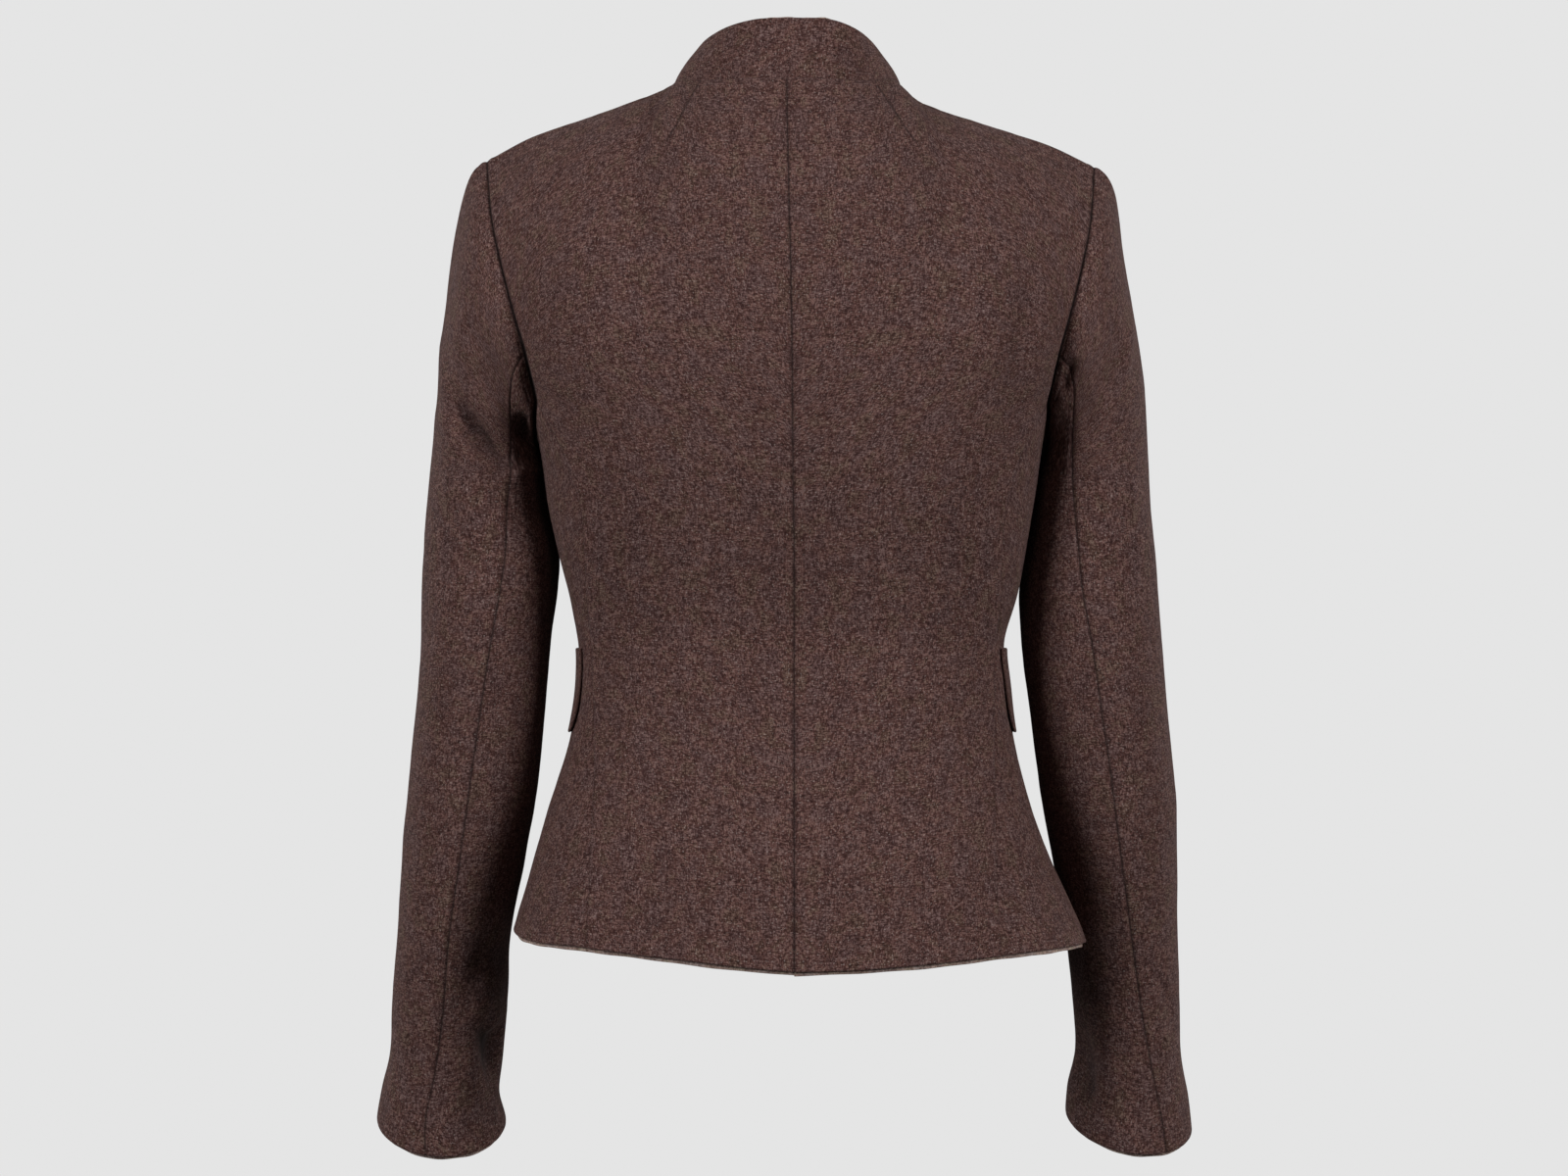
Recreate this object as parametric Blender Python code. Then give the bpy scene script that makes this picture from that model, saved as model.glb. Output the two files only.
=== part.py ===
"""A woman's fitted wool jacket with a stand collar, filled out as if worn, with nobody in it.

The front faces -Y, the wearer's left is +X and +Z is up. The origin is the middle of the neck
opening, level with the tops of the shoulder seams. Every length in this file is in millimetres
until a mesh is made, and every panel is a wall of cloth worked out from the tables below.
"""

import math

import bmesh
import bpy
import numpy as np
from mathutils import Vector
from mathutils.bvhtree import BVHTree

MM = 0.001
LEFT, RIGHT = 1, -1
NEAR = 1e-6

CLOTH = 2.0
EDGE_CLOTH = 1.6
EDGE_HEIGHTS = (-1.6, 5.0, 12.0)
EDGE_GAP = 1.0
COLLAR_CLOTH = 2.6
SEAM_GAP = 0.3
SET_IN_GAP = 0.4
FLAP_GAP = 1.6

UNDERARM_Z = -205.0
HEM_Z = -552.0
ARMHOLE_DIP = 21.0
FULLNESS = 0.2
LAP = 18.0
LAP_SINK = 3.4
LAP_FADE = 14.0

# The body at each height: how far out its left and right sides are, the x of its centre line,
# the y of its back, front and widest line.
BODY_COLUMNS = ("z", "left", "right", "middle", "back", "front", "side_y")
BODY_ROWS = (
    (-575, 187, 193, 0.0, 126, -132, 12),
    (-541, 179, 184, 0.0, 120, -129, 11),
    (-500, 167, 166, 0.0, 112, -124, 8),
    (-459, 155, 151, 0.0, 102, -118, 4),
    (-416, 142, 140, 0.0, 92, -112, 3),
    (-384, 137, 136, 0.0, 86, -109, 3),
    (-356, 137, 134, 0.0, 84, -108, 3),
    (-330, 142, 142, 0.0, 87, -110, 4),
    (-297, 150, 148, 0.0, 95, -117, 5),
    (-265, 157, 153, 0.5, 103, -127, 5),
    (-240, 161, 157, 0.8, 108, -132, 4),
    (-205, 168, 164, 1.0, 112, -131, 0),
    (-160, 172, 169, 1.2, 113, -122, 0),
)
BUST = {"turn": 148, "z": -238, "spread": 17, "height": 52, "depth": 8}
SPINE = {"turn": 0, "z": -310, "spread": 13, "height": 120, "depth": -5}

# The hem's height round the body, by the angle from centre back.
HEM_COLUMNS = ("turn", "left", "right")
HEM_ROWS = (
    (0, -557.0, -557.0),
    (12, -553.8, -556.0),
    (20, -551.0, -554.5),
    (35, -546.8, -550.8),
    (50, -543.6, -547.6),
    (62, -543.0, -546.4),
    (75, -541.2, -546.0),
    (90, -538.8, -546.2),
    (112, -544.0, -548.5),
    (145, -554.0, -555.0),
    (190, -558.0, -558.0),
)

# The side-back seam's distance from the centre line, and the side-front seam's angle.
SIDE_SEAM_COLUMNS = ("z", "back_x", "front_turn")
SIDE_SEAM_ROWS = (
    (-575, 130, 123),
    (-500, 128, 120),
    (-450, 127, 118),
    (-400, 127, 117),
    (-356, 128, 116),
    (-330, 130, 115),
    (-300, 131, 113),
    (-270, 134, 111),
    (-256, 138, 110),
    (-240, 143, 109),
    (-222, 152, 107),
    (-205, 161, 106),
    (-160, 170, 105),
)

# The neckline, from centre back at 0 over the neck point at 1 to the collar's end at 2 and the
# lapped edge at 2.2.
NECK_COLUMNS = ("station", "left_x", "right_x", "y", "left_z", "right_z")
NECK_ROWS = (
    (0.00, 4.4, 4.4, 62, -3.0, -3.0),
    (0.33, 29, -20, 58.5, -3.0, -3.0),
    (0.67, 55, -45, 42, -2.5, -2.5),
    (1.00, 76, -67, 8, -1.0, -1.0),
    (1.25, 79, -71, -20, -22, -22),
    (1.50, 69, -64, -45, -49, -49),
    (1.75, 40, -38, -66, -75, -75),
    (2.00, 6, -6, -74, -87, -87),
    (2.20, -4, 20, -73.5, -87.5, -84.5),
)
NECK_POINT, COLLAR_END, LAP_EDGE = 1.0, 2.0, 2.2

# The shoulder seam, from the neck point at 0 to the armhole at 1.
SHOULDER_COLUMNS = ("station", "left_x", "right_x", "y", "left_z", "right_z")
SHOULDER_ROWS = (
    (0.00, 76, -67, 8, -1.0, -1.0),
    (0.07, 83, -75, 7, -4.6, -8.9),
    (0.20, 99, -91, 6, -10.6, -16.5),
    (0.45, 130, -122, 4, -21.9, -26.2),
    (0.75, 167, -163, 0, -34, -38.8),
    (1.00, 196, -192, -4, -49, -52.6),
)

# The armhole from the side seams' tops at 0 up to the shoulder seam at 1.
ARMHOLE_COLUMNS = ("rise", "back_x", "back_y", "front_x", "front_y", "z")
ARMHOLE_ROWS = (
    (0.00, 164, 28, 161, -43, -205),
    (0.25, 171, 44, 157, -57, -172),
    (0.50, 181, 46, 163, -59, -134),
    (0.75, 191, 31, 177, -46, -91),
    (1.00, 196, -4, 196, -4, -49),
)

# How the cloth above the underarm bends: how far each line keeps its direction at the bottom
# and at the top, and the direction in which it reaches the top, x being outwards.
BEND_COLUMNS = ("across", "low", "high", "lean_x", "lean_y", "lean_z")
BACK_BEND_ROWS = (
    (0.00, 80, 55, 0.00, -0.50, 0.86),
    (0.17, 84, 52, -0.30, -0.55, 0.78),
    (0.26, 86, 50, -0.52, -0.58, 0.62),
    (0.34, 90, 50, -0.50, -0.72, 0.48),
    (0.46, 95, 52, -0.15, -0.94, 0.30),
    (0.60, 92, 54, 0.00, -0.98, 0.16),
    (0.80, 76, 54, 0.00, -0.98, 0.16),
    (1.00, 55, 50, 0.00, -0.94, 0.30),
)
FRONT_BEND_ROWS = (
    (0.00, 50, 40, 0.00, 0.50, 0.86),
    (0.14, 50, 38, -0.33, 0.48, 0.80),
    (0.24, 52, 36, -0.56, 0.42, 0.70),
    (0.33, 62, 38, -0.60, 0.50, 0.60),
    (0.42, 78, 50, -0.40, 0.76, 0.50),
    (0.52, 80, 52, -0.15, 0.93, 0.32),
    (0.64, 74, 50, 0.00, 0.98, 0.18),
    (1.00, 55, 45, 0.00, 0.94, 0.30),
)
BACK_NECK_SHARE, FRONT_NECK_SHARE = 0.34, 0.42

# The collar's upper edge, at the neckline's stations.
COLLAR_COLUMNS = ("station", "left_x", "right_x", "y", "left_z", "right_z")
COLLAR_ROWS = (
    (0.00, 1, 1, 53, 36, 36),
    (0.33, 26, -24, 50, 35, 35),
    (0.67, 48, -44, 34, 29.5, 28),
    (1.00, 61.5, -57, 6, 20, 16),
    (1.25, 68, -64, -18, 3, 4),
    (1.50, 62, -61, -42, -22, -19),
    (1.75, 38, -35, -62, -46, -46),
    (2.00, 6, -6, -70, -60, -60),
)
COLLAR_ROLL = 1.5

# The sleeves at each height: inner and outer side, y of the middle, half depth, and how far the
# ring drops towards its back and towards its outer side, as slopes.
SLEEVE_COLUMNS = ("z", "inner", "outer", "y", "half_depth", "drop_back", "drop_out")
LEFT_SLEEVE_ROWS = (
    (-680, 185, 272, -63, 47, 0.40, -0.06),
    (-668, 187, 271, -62, 47, 0.40, -0.06),
    (-652, 191, 268.5, -60, 46, 0.35, -0.04),
    (-625, 188.5, 262.5, -56, 45, 0.25, -0.02),
    (-590, 185, 260, -50, 46, 0.16, 0.00),
    (-545, 183, 256, -42, 48, 0.10, 0.00),
    (-500, 174, 253, -36, 50, 0.06, 0.00),
    (-455, 166, 249, -30, 52, 0.03, 0.00),
    (-400, 160, 243, -25, 54, 0.00, 0.00),
    (-350, 155.5, 240, -23, 56, 0.00, 0.00),
    (-322, 151.8, 238.5, -22, 57, 0.00, 0.00),
    (-300, 150.6, 237.5, -23, 57, 0.00, 0.00),
    (-270, 156.4, 236, -23, 57, 0.00, 0.00),
    (-250, 159.6, 234, -22, 57, 0.00, 0.00),
    (-230, 163.5, 232, -19, 57, 0.00, 0.00),
)
RIGHT_SLEEVE_ROWS = (
    (-680, 177, 260, -64, 47, 0.36, 0.12),
    (-668, 177, 259, -63, 47, 0.36, 0.12),
    (-652, 178, 257.5, -62, 46, 0.32, 0.09),
    (-625, 183, 252.5, -60, 45, 0.24, 0.05),
    (-590, 181, 250.5, -57, 46, 0.16, 0.02),
    (-545, 176, 249, -52, 47, 0.10, 0.00),
    (-500, 168, 248, -43, 50, 0.06, 0.00),
    (-455, 159, 246, -33, 52, 0.03, 0.00),
    (-400, 151.5, 240, -26, 54, 0.00, 0.00),
    (-350, 146, 236, -23, 56, 0.00, 0.00),
    (-325, 144.8, 233.5, -23, 57, 0.00, 0.00),
    (-300, 147.8, 232, -23, 57, 0.00, 0.00),
    (-270, 152.4, 229, -23, 57, 0.00, 0.00),
    (-250, 155.4, 228, -22, 57, 0.00, 0.00),
    (-230, 160.0, 227, -19, 57, 0.00, 0.00),
)
SLEEVE_TOP_Z, CUFF_Z = -250.0, -668.0

# The angle round the sleeve of its back seam, and of its front seam, from the outer side.
SLEEVE_SEAM_COLUMNS = ("z", "left_back", "right_back", "front")
SLEEVE_SEAM_ROWS = (
    (-675, 80, 56, -130),
    (-645, 80, 62, -132),
    (-590, 87, 77, -134),
    (-510, 90, 87, -135),
    (-410, 94, 91, -136),
    (-345, 101, 96, -136),
    (-290, 108, 106, -134),
    (-240, 121, 118, -130),
)

# Stations round the armhole run down the back from 0 to 1, under the arm to 2 and up the front
# to 3. This gives the matching angle round the sleeve and the cap's handles there.
CAP_COLUMNS = ("station", "angle", "start", "finish")
CAP_ROWS = (
    (0.00, 0, 24, 116),
    (0.40, 52, 24, 88),
    (0.78, 108, 22, 46),
    (1.00, 140, 14, 20),
    (1.50, 181, 8, 9),
    (2.00, 222, 14, 20),
    (2.22, 250, 22, 44),
    (2.60, 306, 26, 85),
    (3.00, 360, 24, 116),
)
BACK_SEAM_STATION, FRONT_SEAM_STATION = 7 / 9, 2 + 2 / 9

# The largest folds of the sleeves: where they lie, their slant, half length and half width,
# and how far they stand out or sink in.
FOLD_COLUMNS = ("side", "angle", "z", "slant", "half_length", "half_width", "height")
FOLD_ROWS = (
    (LEFT, 80, -226, -58, 34, 9, -4.4),
    (LEFT, 56, -240, -60, 40, 13, 2.6),
    (LEFT, 126, -252, -40, 20, 9, 2.6),
    (LEFT, 146, -226, -20, 20, 10, -4.0),
    (LEFT, 132, -300, 90, 48, 15, 3.0),
    (LEFT, 160, -286, -84, 30, 9, -2.0),
    (LEFT, 30, -345, 40, 40, 18, -1.4),
    (LEFT, 160, -614, 76, 34, 11, -4.4),
    (LEFT, 126, -590, 70, 40, 12, 2.0),
    (RIGHT, 0, -112, 0, 70, 50, -6.0),
    (RIGHT, 98, -218, 52, 38, 12, -2.6),
    (RIGHT, 66, -252, 50, 44, 15, 1.8),
    (RIGHT, 128, -272, 90, 56, 15, 3.2),
    (RIGHT, 41, -584, 62, 18, 9, -2.2),
    (RIGHT, 160, -628, -72, 24, 10, -2.8),
    (RIGHT, 120, -622, -60, 30, 12, 1.8),
)

# Pocket flaps on the hips.
FLAP = {"back_turn": 77, "front_turn": 134, "top_z": -360, "depth": 54, "cloth": 1.8}
FLAP_CORNER = 0.30

# Buttons down the centre front.
BUTTON = {"radius": 9.5, "thickness": 3.4, "rim": 1.0, "dish": 0.8, "top_z": -104, "bottom_z": -504}
SHANK = {"radius": 2.6, "length": 1.3}
BUTTON_COUNT = 6
BUTTON_SEGMENTS = 18

# How many steps each piece has, across and along.
BODY_STEPS = 14
UPPER_STEPS = 9
BACK_NECK_STEPS, FRONT_NECK_STEPS, SHOULDER_STEPS = 4, 6, 6
SIDE_STEPS = 8
CAP_STEPS = 7
ARM_STEPS = 14
COLLAR_STEPS = 3
FLAP_STEPS = (9, 4)

BROWN = (0.062, 0.036, 0.031, 1.0)
TAUPE = (0.20, 0.165, 0.145, 1.0)
HORN = (0.09, 0.055, 0.032, 1.0)


def through(knots, values, at):
    """A smooth curve through a table's rows: cubic between knots, its slope at each knot the
    parabola's through the two neighbours."""
    knots = np.asarray(knots, float)
    values = np.asarray(values, float)
    at = np.asarray(at, float)
    wide = np.diff(knots)
    rise = np.diff(values, axis=0) / wide[:, None]
    inner = (wide[:-1, None] * rise[1:] + wide[1:, None] * rise[:-1]) / (wide[:-1] + wide[1:])[:, None]
    slope = np.concatenate([rise[:1], inner, rise[-1:]])
    i = np.clip(np.searchsorted(knots, at, side="right") - 1, 0, len(wide) - 1)
    h = wide[i][..., None]
    u = (at - knots[i])[..., None] / h
    a = values[i] * (1 + 2 * u) * (1 - u) ** 2 + values[i + 1] * u * u * (3 - 2 * u)
    return a + h * (slope[i] * u * (1 - u) ** 2 - slope[i + 1] * u * u * (1 - u))


def table(columns, rows):
    """A function that reads the table at any value of its first column, as a dict of arrays."""
    knots = [row[0] for row in rows]
    values = [row[1:] for row in rows]

    def read(at):
        found = through(knots, values, at)
        return {name: found[..., k] for k, name in enumerate(columns[1:])}

    return read


def points(x, y, z):
    return np.stack(np.broadcast_arrays(x, y, z), axis=-1).astype(float)


def unit(v):
    return v / np.linalg.norm(v, axis=-1, keepdims=True)


def smoothstep(u):
    u = np.clip(u, 0, 1)
    return u * u * (3 - 2 * u)


def sided(side, row, name):
    """The column of the wearer's left or right."""
    return row[("left" if side == LEFT else "right") + name]


body_table = table(BODY_COLUMNS, BODY_ROWS)
hem_table = table(HEM_COLUMNS, HEM_ROWS)
side_seam_table = table(SIDE_SEAM_COLUMNS, SIDE_SEAM_ROWS)
neck_table = table(NECK_COLUMNS, NECK_ROWS)
shoulder_table = table(SHOULDER_COLUMNS, SHOULDER_ROWS)
armhole_table = table(ARMHOLE_COLUMNS, ARMHOLE_ROWS)
back_bend_table = table(BEND_COLUMNS, BACK_BEND_ROWS)
front_bend_table = table(BEND_COLUMNS, FRONT_BEND_ROWS)
collar_table = table(COLLAR_COLUMNS, COLLAR_ROWS)
cap_table = table(CAP_COLUMNS, CAP_ROWS)
sleeve_seam_table = table(SLEEVE_SEAM_COLUMNS, SLEEVE_SEAM_ROWS)
sleeve_tables = {
    LEFT: table(SLEEVE_COLUMNS, LEFT_SLEEVE_ROWS),
    RIGHT: table(SLEEVE_COLUMNS, RIGHT_SLEEVE_ROWS),
}


def swelling(shape, turn, z):
    """A soft round rise or hollow on the body."""
    from_back = 180 - np.abs(180 - turn)
    across = (from_back - shape["turn"]) / shape["spread"]
    along = (z - shape["z"]) / shape["height"]
    return shape["depth"] * np.exp(-across * across - along * along)


def half_width(side, row):
    return sided(side, row, "") - side * row["middle"]


def body(side, turn, z):
    """A point of the body, turn degrees round from centre back: an oval, fuller than an ellipse
    between its axes, whose size is the table's at that height."""
    row = body_table(z)
    a = np.radians(turn)
    depth = np.where(np.cos(a) > 0, row["back"] - row["side_y"], row["side_y"] - row["front"])
    y = row["side_y"] + depth * np.cos(a) * (1 + FULLNESS * np.sin(a) ** 2)
    y = y - swelling(BUST, turn, z) + swelling(SPINE, turn, z)
    return points(row["middle"] + side * half_width(side, row) * np.sin(a), y, z)


def turn_at(side, x, z):
    """The angle at which the body's back is x from its centre line."""
    return np.degrees(np.arcsin(x / half_width(side, body_table(z))))


def back_seam_turn(side, z):
    return turn_at(side, side_seam_table(z)["back_x"], z)


def front_seam_turn(z):
    return side_seam_table(z)["front_turn"]


def front_edge_turn(side, z):
    """The angle of the lapped edge, past centre front."""
    return 180 + turn_at(side, LAP, z)


def hem_height(side, turn):
    return sided(side, hem_table(turn), "")


def level(rise):
    """The height of a row that is rise of the way from hem to underarm, before the hem's curve."""
    return HEM_Z + rise * (UNDERARM_Z - HEM_Z)


def lower_body(side, turn, rise):
    """The body between the hem at rise 0 and the underarm level at rise 1."""
    low = hem_height(side, turn)
    return body(side, turn, low + rise * (UNDERARM_Z - low))


def bezier(p0, p1, p2, p3, t):
    t = t[..., None]
    s = 1 - t
    return p0 * s**3 + 3 * p1 * s * s * t + 3 * p2 * s * t * t + p3 * t**3


def armhole_edge(side, rise, which):
    """The armhole's back or front edge, moved so that its ends meet the side seam and the
    shoulder seam."""
    row = armhole_table(rise)
    edge = points(side * row[which + "_x"], row[which + "_y"], row["z"])
    ends = armhole_table(np.array([0.0, 1.0]))
    ends = points(side * ends[which + "_x"], ends[which + "_y"], ends["z"])
    turn = back_seam_turn(side, UNDERARM_Z) if which == "back" else front_seam_turn(UNDERARM_Z)
    bottom = body(side, turn, UNDERARM_Z) - ends[0]
    top = shoulder(side, np.array(1.0)) - ends[1]
    rise = np.asarray(rise, float)[..., None]
    return edge + bottom * (1 - rise) + top * rise


def neckline(side, station):
    row = neck_table(station)
    return sunk(side, points(sided(side, row, "_x"), row["y"], sided(side, row, "_z")))


def sunk(side, found):
    """The left front lies behind the right one where they lap."""
    if side == RIGHT:
        return found
    in_front = found[..., 1] < 0
    behind = LAP_SINK * smoothstep((LAP + 6 + LAP_FADE - found[..., 0]) / LAP_FADE) * in_front
    return found + behind[..., None] * [0, 1, 0]


def shoulder(side, station):
    row = shoulder_table(station)
    return points(sided(side, row, "_x"), row["y"], sided(side, row, "_z"))


def upper_body(side, across, rise, which):
    """The body above the underarm: each line leaves the lower body in its direction and bends,
    as a cubic with two handles, to the neckline or the shoulder seam. Towards the armhole the
    lines are drawn over to its edge."""
    across, rise = np.broadcast_arrays(np.asarray(across, float), np.asarray(rise, float))
    edge = bent_line(side, np.ones_like(across), rise, which)
    pull = armhole_edge(side, rise, which) - edge
    return bent_line(side, across, rise, which) + pull * (across**3)[..., None]


def bent_line(side, across, rise, which):
    panel = lower_back if which == "back" else lower_front
    share = BACK_NECK_SHARE if which == "back" else FRONT_NECK_SHARE
    bend = (back_bend_table if which == "back" else front_bend_table)(across)
    one = np.ones_like(across)
    start = panel(side, across, one)
    upwards = unit(start - panel(side, across, one - 0.01))
    in_neck = np.clip(across / share, 0, 1)
    station = in_neck if which == "back" else LAP_EDGE - (LAP_EDGE - NECK_POINT) * in_neck
    on_shoulder = np.clip((across - share) / (1 - share), 0, 1)
    top = np.where((across < share)[..., None], neckline(side, station), shoulder(side, on_shoulder))
    lean = unit(points(side * bend["lean_x"], bend["lean_y"], bend["lean_z"]))
    low = start + upwards * bend["low"][..., None]
    high = top - lean * bend["high"][..., None]
    return bezier(start, low, high, top, rise)


def lower_back(side, across, rise):
    turn = across * back_seam_turn(side, level(rise))
    return lower_body(side, turn, rise)


def lower_front(side, across, rise):
    edge = front_edge_turn(side, level(rise))
    turn = edge + across * (front_seam_turn(level(rise)) - edge)
    return sunk(side, lower_body(side, turn, rise))


def back_panel(side, across, rise):
    """The back, from centre back at across 0 to the side-back seam and the armhole at 1, and
    from the hem at rise 0 over the underarm at 1 to the neck and shoulder at 2."""
    across, rise = np.broadcast_arrays(np.asarray(across, float), np.asarray(rise, float))
    low = lower_back(side, across, np.minimum(rise, 1))
    high = upper_body(side, across, np.clip(rise - 1, 0, 1), "back")
    return np.where((rise <= 1)[..., None], low, high)


def front_panel(side, across, rise):
    """The front, from its lapped edge at across 0 to the side-front seam and the armhole at 1."""
    across, rise = np.broadcast_arrays(np.asarray(across, float), np.asarray(rise, float))
    low = lower_front(side, across, np.minimum(rise, 1))
    high = upper_body(side, across, np.clip(rise - 1, 0, 1), "front")
    return np.where((rise <= 1)[..., None], low, high)


def side_panel(side, across, rise):
    """The side, from the side-back seam at across 0 to the side-front seam at 1. Its top dips
    to make the bottom of the armhole."""
    across, rise = np.broadcast_arrays(np.asarray(across, float), np.asarray(rise, float))
    first = back_seam_turn(side, level(rise))
    turn = first + across * (front_seam_turn(level(rise)) - first)
    low = hem_height(side, turn)
    top = UNDERARM_Z - ARMHOLE_DIP * np.sin(np.pi * across)
    return body(side, turn, low + rise * (top - low))


def normals(surface, u, v, outward, u_ends=(0, 1), v_ends=(0, 2)):
    """Unit normals of a surface of two parameters, from its slopes over a very small step."""
    step = 1e-3
    u, v = np.broadcast_arrays(np.asarray(u, float), np.asarray(v, float))
    u_low, u_high = np.maximum(u - step, u_ends[0]), np.minimum(u + step, u_ends[1])
    v_low, v_high = np.maximum(v - step, v_ends[0]), np.minimum(v + step, v_ends[1])
    along_u = surface(u_high, v) - surface(u_low, v)
    along_v = surface(u, v_high) - surface(u, v_low)
    return outward * unit(np.cross(along_u, along_v))


def back_normals(side, across, rise):
    """The back's normals. Both backs share one at centre back."""
    found = normals(lambda u, v: back_panel(side, u, v), across, rise, -side)
    mirrored = normals(lambda u, v: back_panel(-side, u, v), across, rise, side)
    return np.where((np.asarray(across) < NEAR)[..., None], unit(found + mirrored), found)


def front_normals(side, across, rise):
    return normals(lambda u, v: front_panel(side, u, v), across, rise, side)


def side_normals(side, across, rise):
    return normals(lambda u, v: side_panel(side, u, v), across, rise, -side, v_ends=(0, 1))


def mitre(body_normal, joined_normal, run):
    """For a seam with this direction, between two walls with these normals: the step through
    the cloth that both walls' ends share, for cloth one millimetre thick, and the direction
    across the seam from the first wall to the second."""
    through_cloth = unit(body_normal + joined_normal)
    across_seam = unit(np.cross(run, through_cloth))
    lean = np.maximum((through_cloth * body_normal).sum(-1, keepdims=True), 0.6)
    return through_cloth / lean, across_seam


def neck_mitre(side, station):
    """The mitre between the body and the collar, pointing up out of the body."""
    station = np.asarray(station, float)
    on_back = np.clip(station, 0, 1) * BACK_NECK_SHARE
    on_front = np.clip((LAP_EDGE - station) / (LAP_EDGE - NECK_POINT), 0, 1) * FRONT_NECK_SHARE
    top = np.full_like(station, 2.0)
    body_normal = (station < 1 + NEAR)[..., None] * back_normals(side, on_back, top)
    body_normal = body_normal + (station > 1 - NEAR)[..., None] * front_normals(side, on_front, top)
    step = 1e-3
    low = np.maximum(station - step, 0)
    run = side * unit(neckline(side, station + step) - neckline(side, low))
    at = side * np.maximum(station, NEAR)
    joined = unit(np.cross(collar(at, 0.1 + 0 * at) - collar(at, 0 * at), run))
    return mitre(unit(body_normal), joined, run)


def armhole_point(side, station):
    """The armhole's edge: stations run down the back to 1, under the arm to 2 and up to 3."""
    station = np.mod(np.asarray(station, float), 3.0)
    one = np.ones_like(station)
    back = back_panel(side, one, 2 - np.clip(station, 0, 1))
    under = side_panel(side, np.clip(station - 1, 0, 1), one)
    front = front_panel(side, one, np.clip(station - 1, 1, 2))
    found = np.where((station <= 1)[..., None], back, under)
    return np.where((station >= 2)[..., None], front, found)


def armhole_mitre(side, station):
    """The mitre between the body and the sleeve, pointing out of the body."""
    station = np.mod(np.asarray(station, float), 3.0)
    one = np.ones_like(station)
    on_back = (station < 1 + NEAR) | (station > 3 - NEAR)
    on_side = (station > 1 - NEAR) & (station < 2 + NEAR)
    on_front = (station > 2 - NEAR) | (station < NEAR)
    back_rise = 2 - np.clip(np.where(station > 2, 0, station), 0, 1)
    body_normal = on_back[..., None] * back_normals(side, one, back_rise)
    body_normal = body_normal + on_side[..., None] * side_normals(side, np.clip(station - 1, 0, 1), one)
    up_front = np.where(station < 1, 2, np.clip(station - 1, 1, 2))
    body_normal = body_normal + on_front[..., None] * front_normals(side, one, up_front)
    step = 1e-3
    run = side * unit(armhole_point(side, station + step) - armhole_point(side, station - step))
    joined = unit(np.cross(cap_direction(side, station), run))
    return mitre(unit(body_normal), joined, run)


def cap_direction(side, station):
    """The direction in which the sleeve leaves the armhole."""
    a = np.radians(cap_table(np.mod(station, 3.0))["angle"])
    return unit(points(side * (0.75 + 0.15 * np.cos(a)), 0.30 * np.sin(a), 0.3 * np.cos(a) - 0.6))


def shoulder_normals(side, on_shoulder):
    """The normal that front and back share along the shoulder seam, and the mitres at its ends."""
    top = np.full_like(on_shoulder, 2.0)
    back = back_normals(side, BACK_NECK_SHARE + on_shoulder * (1 - BACK_NECK_SHARE), top)
    front = front_normals(side, FRONT_NECK_SHARE + on_shoulder * (1 - FRONT_NECK_SHARE), top)
    found = unit(back + front)
    at_neck = neck_mitre(side, np.ones_like(on_shoulder))[0]
    at_arm = armhole_mitre(side, np.zeros_like(on_shoulder))[0]
    found = np.where((on_shoulder < NEAR)[..., None], at_neck, found)
    return np.where((on_shoulder > 1 - NEAR)[..., None], at_arm, found)


def sewn_normals(side, which, columns, rows):
    """The normals of a front's or back's grid, with the mitres that it shares with the pieces
    sewn to it along its top and its armhole."""
    across, rise = np.meshgrid(columns, rows)
    found = (back_normals if which == "back" else front_normals)(side, across, rise)
    share = BACK_NECK_SHARE if which == "back" else FRONT_NECK_SHARE
    at_neck = columns < share - NEAR
    in_neck = columns[at_neck] / share
    station = in_neck if which == "back" else LAP_EDGE - (LAP_EDGE - NECK_POINT) * in_neck
    found[-1, at_neck] = neck_mitre(side, station)[0]
    found[-1, ~at_neck] = shoulder_normals(side, (columns[~at_neck] - share) / (1 - share))
    at_arm = rows > 1 - NEAR
    station = 2 - rows[at_arm] if which == "back" else 1 + rows[at_arm]
    found[at_arm, -1] = armhole_mitre(side, station)[0]
    return found


def inset(grid, first_row=0.0, last_row=0.0, first_column=0.0, last_column=0.0):
    """A grid of points with its edges drawn in by these lengths, one or one for each point."""
    drawn = grid.copy()
    drawn[0] += unit(grid[1] - grid[0]) * np.reshape(first_row, (-1, 1))
    drawn[-1] += unit(grid[-2] - grid[-1]) * np.reshape(last_row, (-1, 1))
    drawn[:, 0] += unit(grid[:, 1] - grid[:, 0]) * np.reshape(first_column, (-1, 1))
    drawn[:, -1] += unit(grid[:, -2] - grid[:, -1]) * np.reshape(last_column, (-1, 1))
    return drawn


def plain_ring(side, angle, z):
    """A point round the sleeve, angle degrees from its outer side towards the back: an oval of
    the table's size, its back and outer side lowered by the table's slopes."""
    row = sleeve_tables[side](z)
    a = np.radians(angle)
    out = (row["outer"] - row["inner"]) / 2 * np.cos(a)
    back = row["half_depth"] * np.sin(a)
    drop = row["drop_back"] * back + row["drop_out"] * out
    return points(side * ((row["outer"] + row["inner"]) / 2 + out), row["y"] + back, z - drop)


def sleeve_ring(side, angle, z):
    """The same ring with the sleeve's folds."""
    return folded(side, plain_ring(side, angle, z), angle, z, 1.0)


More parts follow.
